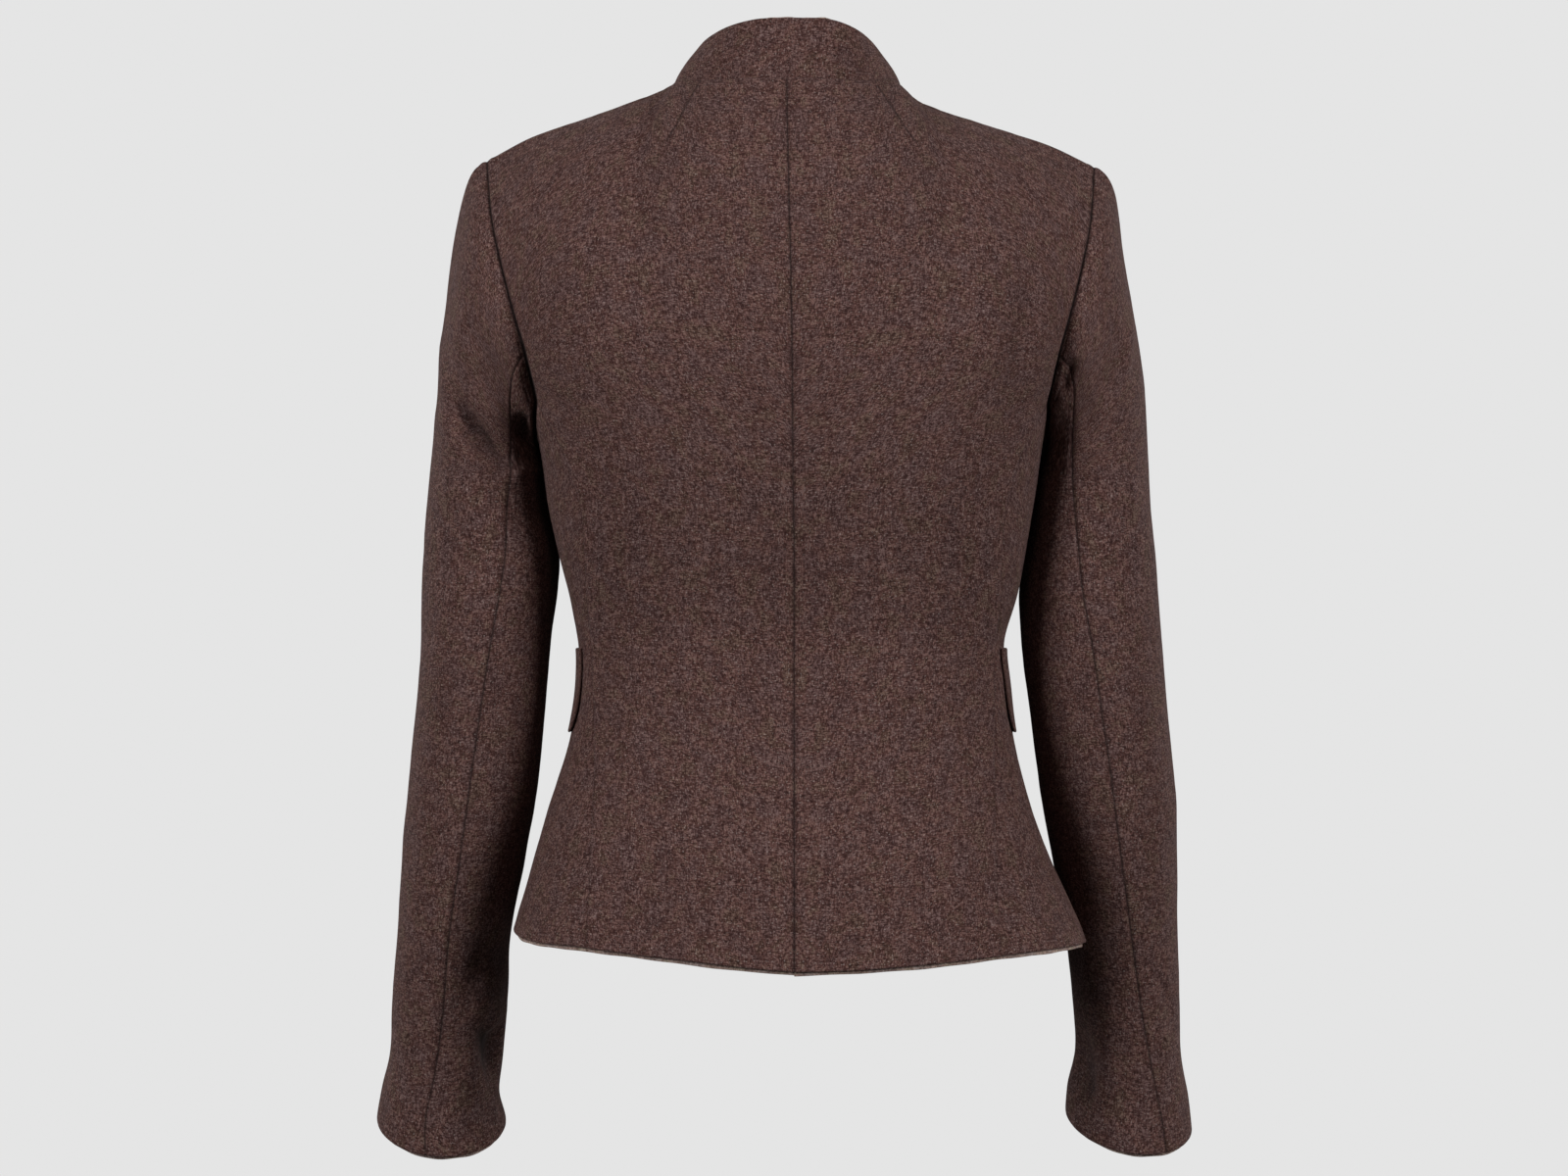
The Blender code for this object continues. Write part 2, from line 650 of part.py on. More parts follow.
def folded(side, found, angle, z, share):
    """Points of the sleeve moved out from its middle line by a share of the folds' height."""
    row = sleeve_tables[side](np.clip(z, CUFF_Z, SLEEVE_TOP_Z))
    middle = points(side * (row["outer"] + row["inner"]) / 2, row["y"], found[..., 2])
    return found + unit(found - middle) * (sleeve_folds(side, angle, z) * share)[..., None]


def sleeve_folds(side, angle, z):
    """How far the folds stand out, as soft ridges and troughs that lie slantwise. They fade
    out above the cuff."""
    total = np.zeros(np.broadcast(angle, z).shape)
    for row in FOLD_ROWS:
        fold = dict(zip(FOLD_COLUMNS, row))
        if fold["side"] != side:
            continue
        slant = math.radians(fold["slant"])
        round_it = (np.mod(angle - fold["angle"] + 180, 360) - 180) * math.radians(1) * 50
        up = z - fold["z"]
        along = (round_it * math.cos(slant) + up * math.sin(slant)) / fold["half_length"]
        across = (up * math.cos(slant) - round_it * math.sin(slant)) / fold["half_width"]
        total = total + fold["height"] * np.exp(-along * along - across * across)
    return total * smoothstep((z - CUFF_Z - 4) / 26)


def sleeve_angles(side, start_angle, z, part):
    """The angle, lower down, of the line that leaves the armhole at start_angle."""
    seams = sleeve_seam_table(np.clip(z, SLEEVE_SEAM_ROWS[0][0], SLEEVE_SEAM_ROWS[-1][0]))
    back = sided(side, seams, "_back")
    front = seams["front"]
    first_back = cap_table(np.array(BACK_SEAM_STATION))["angle"]
    first_front = cap_table(np.array(FRONT_SEAM_STATION))["angle"] - 360
    if part == "upper":
        share = np.where(start_angle > 0, back / first_back, front / first_front)
        return start_angle * share
    share = (start_angle - first_back) / (first_front + 360 - first_back)
    return back + share * (front + 360 - back)


def sleeve(side, part, station, rise):
    """The sleeve's upper or under part. Rise 0 to 1 is the cap, each line bending from the
    armhole to the first whole ring, and 1 to 2 is the arm down to the cuff."""
    station, rise = np.broadcast_arrays(np.asarray(station, float), np.asarray(rise, float))
    row = cap_table(np.mod(station, 3.0))
    start_angle = np.where(station < 0, row["angle"] - 360, row["angle"])
    z = SLEEVE_TOP_Z + np.clip(rise - 1, 0, 1) * (CUFF_Z - SLEEVE_TOP_Z)
    arm = sleeve_ring(side, sleeve_angles(side, start_angle, z, part), z)
    top_z = np.full_like(z, SLEEVE_TOP_Z)
    angle = sleeve_angles(side, start_angle, top_z, part)
    ring = plain_ring(side, angle, top_z)
    lower = plain_ring(side, sleeve_angles(side, start_angle, top_z - 4, part), top_z - 4)
    stations, place = np.unique(station, return_inverse=True)
    start = armhole_point(side, stations) + armhole_mitre(side, stations)[1] * SEAM_GAP
    start = start[place.reshape(station.shape)]
    leaving = start + cap_direction(side, station) * row["start"][..., None]
    arriving = ring + unit(ring - lower) * row["finish"][..., None]
    cap = bezier(start, leaving, arriving, ring, np.clip(rise, 0, 1))
    cap = folded(side, cap, angle, cap[..., 2], smoothstep(rise * 2.2))
    return np.where((rise <= 1)[..., None], cap, arm)


def sleeve_normals(side, part, columns, rows):
    """The normals of a sleeve part's grid. Both parts share one along their seams, and the
    armhole's mitre is at the top."""
    station, rise = np.meshgrid(columns, rows)
    found = normals(lambda u, v: sleeve(side, part, u, v), station, rise, -side, (-1, 3))
    other = "under" if part == "upper" else "upper"
    for column in (0, -1):
        at_front = np.mod(columns[column], 3.0) > 1.5
        seam = FRONT_SEAM_STATION - 3 * (other == "upper") if at_front else BACK_SEAM_STATION
        seams = np.full_like(rows, seam)
        beyond = normals(lambda u, v: sleeve(side, other, u, v), seams, rows, -side, (-1, 3))
        found[:, column] = unit(found[:, column] + beyond)
    found[0] = armhole_mitre(side, columns)[0]
    return found


def collar(station, height):
    """The collar, from its seam at height 0 to its upper edge at 1, bowed out a little. The
    station is negative on the wearer's right."""
    station, height = np.broadcast_arrays(np.asarray(station, float), np.asarray(height, float))
    at = np.abs(station)
    found = np.zeros(at.shape + (3,))
    for side in (LEFT, RIGHT):
        low = neckline(side, at)
        row = collar_table(at)
        high = points(sided(side, row, "_x"), row["y"], sided(side, row, "_z"))
        made = low + (high - low) * height[..., None]
        outwards = unit(made * [1, 1, 0])
        made = made + outwards * (COLLAR_ROLL * np.sin(np.pi * height))[..., None]
        mine = station >= 0 if side == LEFT else station < 0
        found = np.where(mine[..., None], made, found)
    return found


def material(name, colour, roughness):
    made = bpy.data.materials.new(name)
    made.use_nodes = True
    shader = made.node_tree.nodes["Principled BSDF"]
    shader.inputs["Base Color"].default_value = colour
    shader.inputs["Roughness"].default_value = roughness
    shader.inputs["Metallic"].default_value = 0.0
    made.diffuse_color = colour
    return made


def mesh_object(name, vertices, faces, finish):
    """A closed mesh with its faces turned outwards, in metres."""
    mesh = bpy.data.meshes.new(name)
    mesh.from_pydata((np.asarray(vertices) * MM).tolist(), [], faces)
    form = bmesh.new()
    form.from_mesh(mesh)
    bmesh.ops.recalc_face_normals(form, faces=form.faces)
    form.to_mesh(mesh)
    form.free()
    mesh.shade_smooth()
    mesh.set_sharp_from_angle(angle=math.radians(50))
    mesh.materials.append(finish)
    made = bpy.data.objects.new(name, mesh)
    bpy.context.scene.collection.objects.link(made)
    return made


def wall(name, outer, inner, finish):
    """A wall of cloth between two grids of points, closed along its four edges."""
    rows, columns = outer.shape[:2]
    count = rows * columns

    def at(layer, row, column):
        return layer * count + row * columns + column

    faces = []
    for r in range(rows - 1):
        for c in range(columns - 1):
            ring = ((r, c), (r, c + 1), (r + 1, c + 1), (r + 1, c))
            faces.append([at(0, *p) for p in ring])
            faces.append([at(1, *p) for p in reversed(ring)])
    border = [(0, c) for c in range(columns - 1)]
    border += [(r, columns - 1) for r in range(rows - 1)]
    border += [(rows - 1, c) for c in range(columns - 1, 0, -1)]
    border += [(r, 0) for r in range(rows - 1, 0, -1)]
    for first, second in zip(border, border[1:] + border[:1]):
        if split_key(outer[second]) < split_key(outer[first]):
            first, second = second, first
        faces.append([at(0, *first), at(0, *second), at(1, *second)])
        faces.append([at(0, *first), at(1, *second), at(1, *first)])
    vertices = np.concatenate([outer.reshape(-1, 3), inner.reshape(-1, 3)])
    return mesh_object(name, vertices, faces, finish)


def split_key(point):
    """Two walls that meet at a seam split each of their end faces from the end with the lower
    key, so that the split faces stay the same distance apart."""
    return point[2] + 0.3 * point[1]


def ring_wall(name, outer, inner, finish):
    """A tube of cloth between two grids of points whose columns go all the way round."""
    rows, columns = outer.shape[:2]
    count = rows * columns
    faces = []
    for c in range(columns):
        d = (c + 1) % columns
        for r in range(rows - 1):
            low, high = r * columns, (r + 1) * columns
            faces.append([low + c, low + d, high + d, high + c])
            faces.append([count + high + c, count + high + d, count + low + d, count + low + c])
        top = (rows - 1) * columns
        faces.append([d, c, count + c, count + d])
        faces.append([top + c, top + d, count + top + d, count + top + c])
    vertices = np.concatenate([outer.reshape(-1, 3), inner.reshape(-1, 3)])
    return mesh_object(name, vertices, faces, finish)


def steps(*stops):
    """Values from stop to stop, each pair (value, number of steps up to it)."""
    found = [np.array([stops[0]])]
    for last, count in stops[1:]:
        found.append(np.linspace(found[-1][-1], last, count + 1)[1:])
    return np.concatenate(found)


def back_columns():
    return steps(0.0, (BACK_NECK_SHARE, BACK_NECK_STEPS), (1.0, SHOULDER_STEPS))


def front_columns():
    return steps(0.0, (FRONT_NECK_SHARE, FRONT_NECK_STEPS), (1.0, SHOULDER_STEPS))


def lower_rows():
    """The rows from hem to underarm. One lies level with the top of the edge strip."""
    return steps(0.0, (EDGE_HEIGHTS[-1] / (UNDERARM_Z - HEM_Z), 1), (1.0, BODY_STEPS))


def body_rows():
    return np.concatenate([lower_rows(), steps(1.0, (2.0, UPPER_STEPS))[1:]])


def sleeve_rows():
    """The rows from armhole to cuff. One lies level with the top of the edge strip."""
    strip_top = 2 - EDGE_HEIGHTS[-1] / (SLEEVE_TOP_Z - CUFF_Z)
    return steps(0.0, (1.0, CAP_STEPS), (strip_top, ARM_STEPS), (2.0, 1))


def side_word(side):
    return "left" if side == LEFT else "right"


def make_back(side, cloth):
    across, rise = np.meshgrid(back_columns(), body_rows())
    half = SEAM_GAP / 2
    outer = inset(
        back_panel(side, across, rise),
        last_row=half * (back_columns() > BACK_NECK_SHARE - NEAR),
        first_column=half,
        last_column=half * (body_rows() < 1 + NEAR),
    )
    depth = sewn_normals(side, "back", back_columns(), body_rows())
    return wall("back_" + side_word(side), outer, outer - depth * CLOTH, cloth)


def make_front(side, cloth):
    across, rise = np.meshgrid(front_columns(), body_rows())
    half = SEAM_GAP / 2
    outer = inset(
        front_panel(side, across, rise),
        last_row=half * (front_columns() > FRONT_NECK_SHARE - NEAR),
        last_column=half * (body_rows() < 1 + NEAR),
    )
    depth = sewn_normals(side, "front", front_columns(), body_rows())
    return wall("front_" + side_word(side), outer, outer - depth * CLOTH, cloth)


def make_side(side, cloth):
    across, rise = np.meshgrid(steps(0.0, (1.0, SIDE_STEPS)), lower_rows())
    half = SEAM_GAP / 2
    outer = inset(side_panel(side, across, rise), first_column=half, last_column=half)
    depth = side_normals(side, across, rise)
    depth[-1] = armhole_mitre(side, 1 + across[-1])[0]
    return wall("side_" + side_word(side), outer, outer - depth * CLOTH, cloth)


def armhole_stations():
    """The stations of the body panels' own corners round the armhole."""
    return steps(0.0, (1.0, UPPER_STEPS), (2.0, SIDE_STEPS), (3.0, UPPER_STEPS))


def sleeve_stations(part):
    stations = armhole_stations()
    if part == "upper":
        front = stations[stations > FRONT_SEAM_STATION - NEAR] - 3.0
        return np.concatenate([front[:-1], stations[stations < BACK_SEAM_STATION + NEAR]])
    return stations[(stations > BACK_SEAM_STATION - NEAR) & (stations < FRONT_SEAM_STATION + NEAR)]


def make_sleeve_part(side, part, cloth):
    columns, rows = sleeve_stations(part), sleeve_rows()
    half = SEAM_GAP / 2
    outer = inset(sleeve(side, part, *np.meshgrid(columns, rows)), first_column=half, last_column=half)
    depth = sleeve_normals(side, part, columns, rows)
    return wall(f"sleeve_{part}_{side_word(side)}", outer, outer - depth * CLOTH, cloth)


def collar_stations():
    found = steps(0.0, (NECK_POINT, BACK_NECK_STEPS))
    front = LAP_EDGE - (LAP_EDGE - NECK_POINT) * front_columns() / FRONT_NECK_SHARE
    front = np.sort(front[(front > NECK_POINT + NEAR) & (front < COLLAR_END + NEAR)])
    found = np.concatenate([found, front])
    return np.concatenate([-found[:0:-1], found])


def make_collar(cloth):
    station, height = np.meshgrid(collar_stations(), steps(0.0, (1.0, COLLAR_STEPS)))
    outer = collar(station, height)
    depth = normals(collar, station, height, -1, (-LAP_EDGE, LAP_EDGE), (0, 1))
    for side in (LEFT, RIGHT):
        mine = side * station[0] > -NEAR if side == LEFT else station[0] < -NEAR
        through_cloth, across_seam = neck_mitre(side, np.abs(station[0][mine]))
        outer[0, mine] += across_seam * SET_IN_GAP
        depth[0, mine] = through_cloth
    return wall("collar", outer, outer - depth * COLLAR_CLOTH, cloth)


def make_hem_edge(side, finish):
    """The strip of edge cloth inside the hem, from the front edge to centre back. It shows
    below the hem."""
    back, front, edge = back_seam_turn(side, HEM_Z), front_seam_turn(HEM_Z), front_edge_turn(side, HEM_Z)
    turns = np.concatenate([
        back_columns()[:-1] * back,
        np.linspace(back, front, SIDE_STEPS + 1),
        (edge + front_columns() * (front - edge))[-2::-1],
    ])
    last = edge - 1.2 if side == LEFT else 180 - turn_at(side, LAP + 5, HEM_Z)
    turns = np.append(turns[turns < last - 1], last)
    turn, up = np.meshgrid(turns, np.array(EDGE_HEIGHTS))

    def skin(u, v):
        return sunk(side, body(side, u, v))

    z = hem_height(side, np.minimum(turn, 190)) + up
    depth = normals(skin, turn, z, -side, (0, 200), (-600, 0))
    outer = inset(skin(turn, z) - depth * (CLOTH + EDGE_GAP), first_column=SEAM_GAP / 2)
    return wall("hem_edge_" + side_word(side), outer, outer - depth * EDGE_CLOTH, finish)


def make_cuff_edge(side, finish):
    """The ring of edge cloth inside the cuff."""
    stations = armhole_stations()[:-1]
    upper_angle = cap_table(stations)["angle"] - 360 * (stations >= FRONT_SEAM_STATION)
    angles = np.where(
        (stations > BACK_SEAM_STATION) & (stations < FRONT_SEAM_STATION),
        sleeve_angles(side, cap_table(stations)["angle"], CUFF_Z, "under"),
        sleeve_angles(side, upper_angle, CUFF_Z, "upper"),
    )
    angle, z = np.meshgrid(np.mod(angles, 360), CUFF_Z + np.array(EDGE_HEIGHTS))
    depth = normals(lambda u, v: sleeve_ring(side, u, v), angle, z, side, (-1, 361), (-690, 0))
    outer = sleeve_ring(side, angle, z) - depth * (CLOTH + EDGE_GAP)
    return ring_wall("cuff_edge_" + side_word(side), outer, outer - depth * EDGE_CLOTH, finish)


def make_collar_edge(finish):
    """The strip of edge cloth inside the collar's upper edge. It shows above it."""
    station, up = np.meshgrid(collar_stations(), -np.array(EDGE_HEIGHTS)[::-1])
    rise = np.linalg.norm(collar(station, 1.0) - collar(station, 0.0), axis=-1)
    height = 1 + up / rise
    depth = normals(collar, station, height, -1, (-LAP_EDGE, LAP_EDGE), (0, 2))
    outer = collar(station, height) - depth * (COLLAR_CLOTH + 1.6 * EDGE_GAP)
    outer = inset(outer, first_column=EDGE_GAP, last_column=EDGE_GAP)
    return wall("collar_edge", outer, outer - depth * EDGE_CLOTH, finish)


def make_flap(side, cloth):
    """A pocket flap that lies on the hip, its lower corners rounded."""
    columns, rows = FLAP_STEPS
    along, down = np.meshgrid(np.linspace(-1, 1, columns + 1), np.linspace(1, 0, rows + 1))
    back, front = FLAP["back_turn"], FLAP["front_turn"]
    turn = (back + front) / 2 + along * (front - back) / 2
    z = FLAP["top_z"] - down * FLAP["depth"] * (1 - FLAP_CORNER * np.abs(along) ** 12)
    skin = body(side, turn, z)
    depth = normals(lambda u, v: body(side, u, v), turn, z, -side, (0, 200), (HEM_Z, UNDERARM_Z))
    inner = skin + depth * FLAP_GAP
    return wall("pocket_flap_" + side_word(side), inner + depth * FLAP["cloth"], inner, cloth)


def button_mesh(finish):
    """A round button on a short thread shank, with a rounded rim and a dished face, turned
    about its axis."""
    radius, rim, low = BUTTON["radius"], BUTTON["rim"], SHANK["length"]
    high = low + BUTTON["thickness"]
    profile = (
        (0.0, 0.0),
        (SHANK["radius"], 0.0),
        (SHANK["radius"], low),
        (radius - rim, low),
        (radius, low + rim),
        (radius, high - rim),
        (radius - rim, high),
        (radius - 3 * rim, high - BUTTON["dish"]),
        (0.0, high - BUTTON["dish"]),
    )
    form = bmesh.new()
    line = [form.verts.new((r * MM, 0, h * MM)) for r, h in profile]
    edges = [form.edges.new(pair) for pair in zip(line, line[1:])]
    bmesh.ops.spin(
        form,
        geom=line + edges,
        cent=(0, 0, 0),
        axis=(0, 0, 1),
        angle=math.tau,
        steps=BUTTON_SEGMENTS,
        use_merge=True,
    )
    bmesh.ops.remove_doubles(form, verts=form.verts, dist=1e-5)
    bmesh.ops.recalc_face_normals(form, faces=form.faces)
    mesh = bpy.data.meshes.new("button")
    form.to_mesh(mesh)
    form.free()
    mesh.shade_smooth()
    mesh.set_sharp_from_angle(angle=math.radians(50))
    mesh.materials.append(finish)
    return mesh


def make_buttons(front, finish):
    """Buttons down the centre of the right front, evenly spaced and each square to the cloth."""
    mesh = button_mesh(finish)
    across, rise = (grid.ravel() for grid in np.meshgrid(np.linspace(0, 0.2, 41), np.linspace(0, 2, 401)))
    cloth = front_panel(RIGHT, across, rise)
    corners = [v.co for v in front.data.vertices]
    facets = BVHTree.FromPolygons(corners, [f.vertices for f in front.data.polygons])
    for number, z in enumerate(np.linspace(BUTTON["top_z"], BUTTON["bottom_z"], BUTTON_COUNT)):
        k = int(np.argmin(np.hypot(cloth[:, 0], cloth[:, 2] - z)))
        out = Vector(front_normals(RIGHT, across[k : k + 1], rise[k : k + 1])[0])
        seat = facets.ray_cast(Vector(cloth[k]) * MM + out * 0.01, -out)[0]
        made = bpy.data.objects.new(f"button_{number + 1}", mesh)
        made.location = seat + out * SEAM_GAP * MM
        made.rotation_euler = out.to_track_quat("Z", "Y").to_euler()
        bpy.context.scene.collection.objects.link(made)


def main():
    for old in list(bpy.data.objects):
        bpy.data.objects.remove(old)
    wool = material("brown_wool", BROWN, 0.95)
    edging = material("taupe_edge", TAUPE, 0.95)
    horn = material("horn", HORN, 0.35)
    for side in (LEFT, RIGHT):
        make_back(side, wool)
        make_side(side, wool)
        make_front(side, wool)
        make_sleeve_part(side, "upper", wool)
        make_sleeve_part(side, "under", wool)
        make_flap(side, wool)
        make_hem_edge(side, edging)
        make_cuff_edge(side, edging)
    make_collar(wool)
    make_collar_edge(edging)
    make_buttons(bpy.data.objects["front_right"], horn)


main()
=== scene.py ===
import math

import bpy
import numpy as np
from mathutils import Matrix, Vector


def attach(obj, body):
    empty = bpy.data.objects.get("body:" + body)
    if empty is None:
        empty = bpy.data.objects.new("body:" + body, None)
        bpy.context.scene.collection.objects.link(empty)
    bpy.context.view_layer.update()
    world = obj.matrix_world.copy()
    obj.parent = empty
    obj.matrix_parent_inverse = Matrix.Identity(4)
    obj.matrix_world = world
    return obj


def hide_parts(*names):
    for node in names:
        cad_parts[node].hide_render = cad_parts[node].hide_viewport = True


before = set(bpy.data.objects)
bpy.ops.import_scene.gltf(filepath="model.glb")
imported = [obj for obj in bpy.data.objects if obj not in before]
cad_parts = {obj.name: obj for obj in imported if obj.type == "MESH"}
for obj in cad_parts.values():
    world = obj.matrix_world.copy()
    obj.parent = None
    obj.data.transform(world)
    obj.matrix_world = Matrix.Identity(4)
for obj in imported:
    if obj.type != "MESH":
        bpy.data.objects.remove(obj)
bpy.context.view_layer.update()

# The jacket's surfaces are worked out from the same tables as its solids, in millimetres, on
# finer grids, with the cloth's small folds, rounded seams and edges added.

MM = 0.001
LEFT, RIGHT = 1, -1
NEAR = 1e-6

# The thickness of the cloths, and how far the edge strips lie off the wall behind them.
CLOTH = 2.0
EDGE_CLOTH = 1.6
COLLAR_CLOTH = 2.6
EDGE_GAP = 1.0

# The space between two walls at a seam and at the set-in collar. Below nothing, they lap a
# little where the solids stand apart, so that no light comes through the seams.
SEAM_GAP = -0.04
SET_IN_GAP = -0.04

UNDERARM_Z = -205.0
HEM_Z = -552.0
ARMHOLE_DIP = 21.0
FULLNESS = 0.2
LAP = 18.0
LAP_SINK = 3.4
LAP_FADE = 14.0

# The body at each height: how far out its left and right sides are, the x of its centre line,
# the y of its back, front and widest line.
BODY_COLUMNS = ("z", "left", "right", "middle", "back", "front", "side_y")
BODY_ROWS = (
    (-575, 187, 193, 0.0, 126, -132, 12),
    (-541, 179, 184, 0.0, 120, -129, 11),
    (-500, 167, 166, 0.0, 112, -124, 8),
    (-459, 155, 151, 0.0, 102, -118, 4),
    (-416, 142, 140, 0.0, 92, -112, 3),
    (-384, 137, 136, 0.0, 86, -109, 3),
    (-356, 137, 134, 0.0, 84, -108, 3),
    (-330, 142, 142, 0.0, 87, -110, 4),
    (-297, 150, 148, 0.0, 95, -117, 5),
    (-265, 157, 153, 0.5, 103, -127, 5),
    (-240, 161, 157, 0.8, 108, -132, 4),
    (-205, 168, 164, 1.0, 112, -131, 0),
    (-160, 172, 169, 1.2, 113, -122, 0),
)
BUST = {"turn": 148, "z": -238, "spread": 17, "height": 52, "depth": 8}
SPINE = {"turn": 0, "z": -310, "spread": 13, "height": 120, "depth": -5}

# The hem's height round the body, by the angle from centre back.
HEM_COLUMNS = ("turn", "left", "right")
HEM_ROWS = (
    (0, -557.0, -557.0),
    (12, -553.8, -556.0),
    (20, -551.0, -554.5),
    (35, -546.8, -550.8),
    (50, -543.6, -547.6),
    (62, -543.0, -546.4),
    (75, -541.2, -546.0),
    (90, -538.8, -546.2),
    (112, -544.0, -548.5),
    (145, -554.0, -555.0),
    (190, -558.0, -558.0),
)

# The side-back seam's distance from the centre line, and the side-front seam's angle.
SIDE_SEAM_COLUMNS = ("z", "back_x", "front_turn")
SIDE_SEAM_ROWS = (
    (-575, 130, 123),
    (-500, 128, 120),
    (-450, 127, 118),
    (-400, 127, 117),
    (-356, 128, 116),
    (-330, 130, 115),
    (-300, 131, 113),
    (-270, 134, 111),
    (-256, 138, 110),
    (-240, 143, 109),
    (-222, 152, 107),
    (-205, 161, 106),
    (-160, 170, 105),
)

# The neckline, from centre back at 0 over the neck point at 1 to the collar's end at 2 and the
# lapped edge at 2.2.
NECK_COLUMNS = ("station", "left_x", "right_x", "y", "left_z", "right_z")
NECK_ROWS = (
    (0.00, 4.4, 4.4, 62, -3.0, -3.0),
    (0.33, 29, -20, 58.5, -3.0, -3.0),
    (0.67, 55, -45, 42, -2.5, -2.5),
    (1.00, 76, -67, 8, -1.0, -1.0),
    (1.25, 79, -71, -20, -22, -22),
    (1.50, 69, -64, -45, -49, -49),
    (1.75, 40, -38, -66, -75, -75),
    (2.00, 6, -6, -74, -87, -87),
    (2.20, -4, 20, -73.5, -87.5, -84.5),
)
NECK_POINT, COLLAR_END, LAP_EDGE = 1.0, 2.0, 2.2

# The shoulder seam, from the neck point at 0 to the armhole at 1.
SHOULDER_COLUMNS = ("station", "left_x", "right_x", "y", "left_z", "right_z")
SHOULDER_ROWS = (
    (0.00, 76, -67, 8, -1.0, -1.0),
    (0.07, 83, -75, 7, -4.6, -8.9),
    (0.20, 99, -91, 6, -10.6, -16.5),
    (0.45, 130, -122, 4, -21.9, -26.2),
    (0.75, 167, -163, 0, -34, -38.8),
    (1.00, 196, -192, -4, -49, -52.6),
)

# The armhole from the side seams' tops at 0 up to the shoulder seam at 1.
ARMHOLE_COLUMNS = ("rise", "back_x", "back_y", "front_x", "front_y", "z")
ARMHOLE_ROWS = (
    (0.00, 164, 28, 161, -43, -205),
    (0.25, 171, 44, 157, -57, -172),
    (0.50, 181, 46, 163, -59, -134),
    (0.75, 191, 31, 177, -46, -91),
    (1.00, 196, -4, 196, -4, -49),
)

# How the cloth above the underarm bends: how far each line keeps its direction at the bottom
# and at the top, and the direction in which it reaches the top, x being outwards.
BEND_COLUMNS = ("across", "low", "high", "lean_x", "lean_y", "lean_z")
BACK_BEND_ROWS = (
    (0.00, 80, 55, 0.00, -0.50, 0.86),
    (0.17, 84, 52, -0.30, -0.55, 0.78),
    (0.26, 86, 50, -0.52, -0.58, 0.62),
    (0.34, 90, 50, -0.50, -0.72, 0.48),
    (0.46, 95, 52, -0.15, -0.94, 0.30),
    (0.60, 92, 54, 0.00, -0.98, 0.16),
    (0.80, 76, 54, 0.00, -0.98, 0.16),
    (1.00, 55, 50, 0.00, -0.94, 0.30),
)
FRONT_BEND_ROWS = (
    (0.00, 50, 40, 0.00, 0.50, 0.86),
    (0.14, 50, 38, -0.33, 0.48, 0.80),
    (0.24, 52, 36, -0.56, 0.42, 0.70),
    (0.33, 62, 38, -0.60, 0.50, 0.60),
    (0.42, 78, 50, -0.40, 0.76, 0.50),
    (0.52, 80, 52, -0.15, 0.93, 0.32),
    (0.64, 74, 50, 0.00, 0.98, 0.18),
    (1.00, 55, 45, 0.00, 0.94, 0.30),
)
BACK_NECK_SHARE, FRONT_NECK_SHARE = 0.34, 0.42

# The collar's upper edge, at the neckline's stations.
COLLAR_COLUMNS = ("station", "left_x", "right_x", "y", "left_z", "right_z")
COLLAR_ROWS = (
    (0.00, 1, 1, 53, 36, 36),
    (0.33, 26, -24, 50, 35, 35),
    (0.67, 48, -44, 34, 29.5, 28),
    (1.00, 61.5, -57, 6, 20, 16),
    (1.25, 68, -64, -18, 3, 4),
    (1.50, 62, -61, -42, -22, -19),
    (1.75, 38, -35, -62, -46, -46),
    (2.00, 6, -6, -70, -60, -60),
)
COLLAR_ROLL = 1.5

# The sleeves at each height: inner and outer side, y of the middle, half depth, and how far the
# ring drops towards its back and towards its outer side, as slopes.
SLEEVE_COLUMNS = ("z", "inner", "outer", "y", "half_depth", "drop_back", "drop_out")
LEFT_SLEEVE_ROWS = (
    (-680, 185, 272, -63, 47, 0.40, -0.06),
    (-668, 187, 271, -62, 47, 0.40, -0.06),
    (-652, 191, 268.5, -60, 46, 0.35, -0.04),
    (-625, 188.5, 262.5, -56, 45, 0.25, -0.02),
    (-590, 185, 260, -50, 46, 0.16, 0.00),
    (-545, 183, 256, -42, 48, 0.10, 0.00),
    (-500, 174, 253, -36, 50, 0.06, 0.00),
    (-455, 166, 249, -30, 52, 0.03, 0.00),
    (-400, 160, 243, -25, 54, 0.00, 0.00),
    (-350, 155.5, 240, -23, 56, 0.00, 0.00),
    (-322, 151.8, 238.5, -22, 57, 0.00, 0.00),
    (-300, 150.6, 237.5, -23, 57, 0.00, 0.00),
    (-270, 156.4, 236, -23, 57, 0.00, 0.00),
    (-250, 159.6, 234, -22, 57, 0.00, 0.00),
    (-230, 163.5, 232, -19, 57, 0.00, 0.00),
)
RIGHT_SLEEVE_ROWS = (
    (-680, 177, 260, -64, 47, 0.36, 0.12),
    (-668, 177, 259, -63, 47, 0.36, 0.12),
    (-652, 178, 257.5, -62, 46, 0.32, 0.09),
    (-625, 183, 252.5, -60, 45, 0.24, 0.05),
    (-590, 181, 250.5, -57, 46, 0.16, 0.02),
    (-545, 176, 249, -52, 47, 0.10, 0.00),
    (-500, 168, 248, -43, 50, 0.06, 0.00),
    (-455, 159, 246, -33, 52, 0.03, 0.00),
    (-400, 151.5, 240, -26, 54, 0.00, 0.00),
    (-350, 146, 236, -23, 56, 0.00, 0.00),
    (-325, 144.8, 233.5, -23, 57, 0.00, 0.00),
    (-300, 147.8, 232, -23, 57, 0.00, 0.00),
    (-270, 152.4, 229, -23, 57, 0.00, 0.00),
    (-250, 155.4, 228, -22, 57, 0.00, 0.00),
    (-230, 160.0, 227, -19, 57, 0.00, 0.00),
)
SLEEVE_TOP_Z, CUFF_Z = -250.0, -668.0

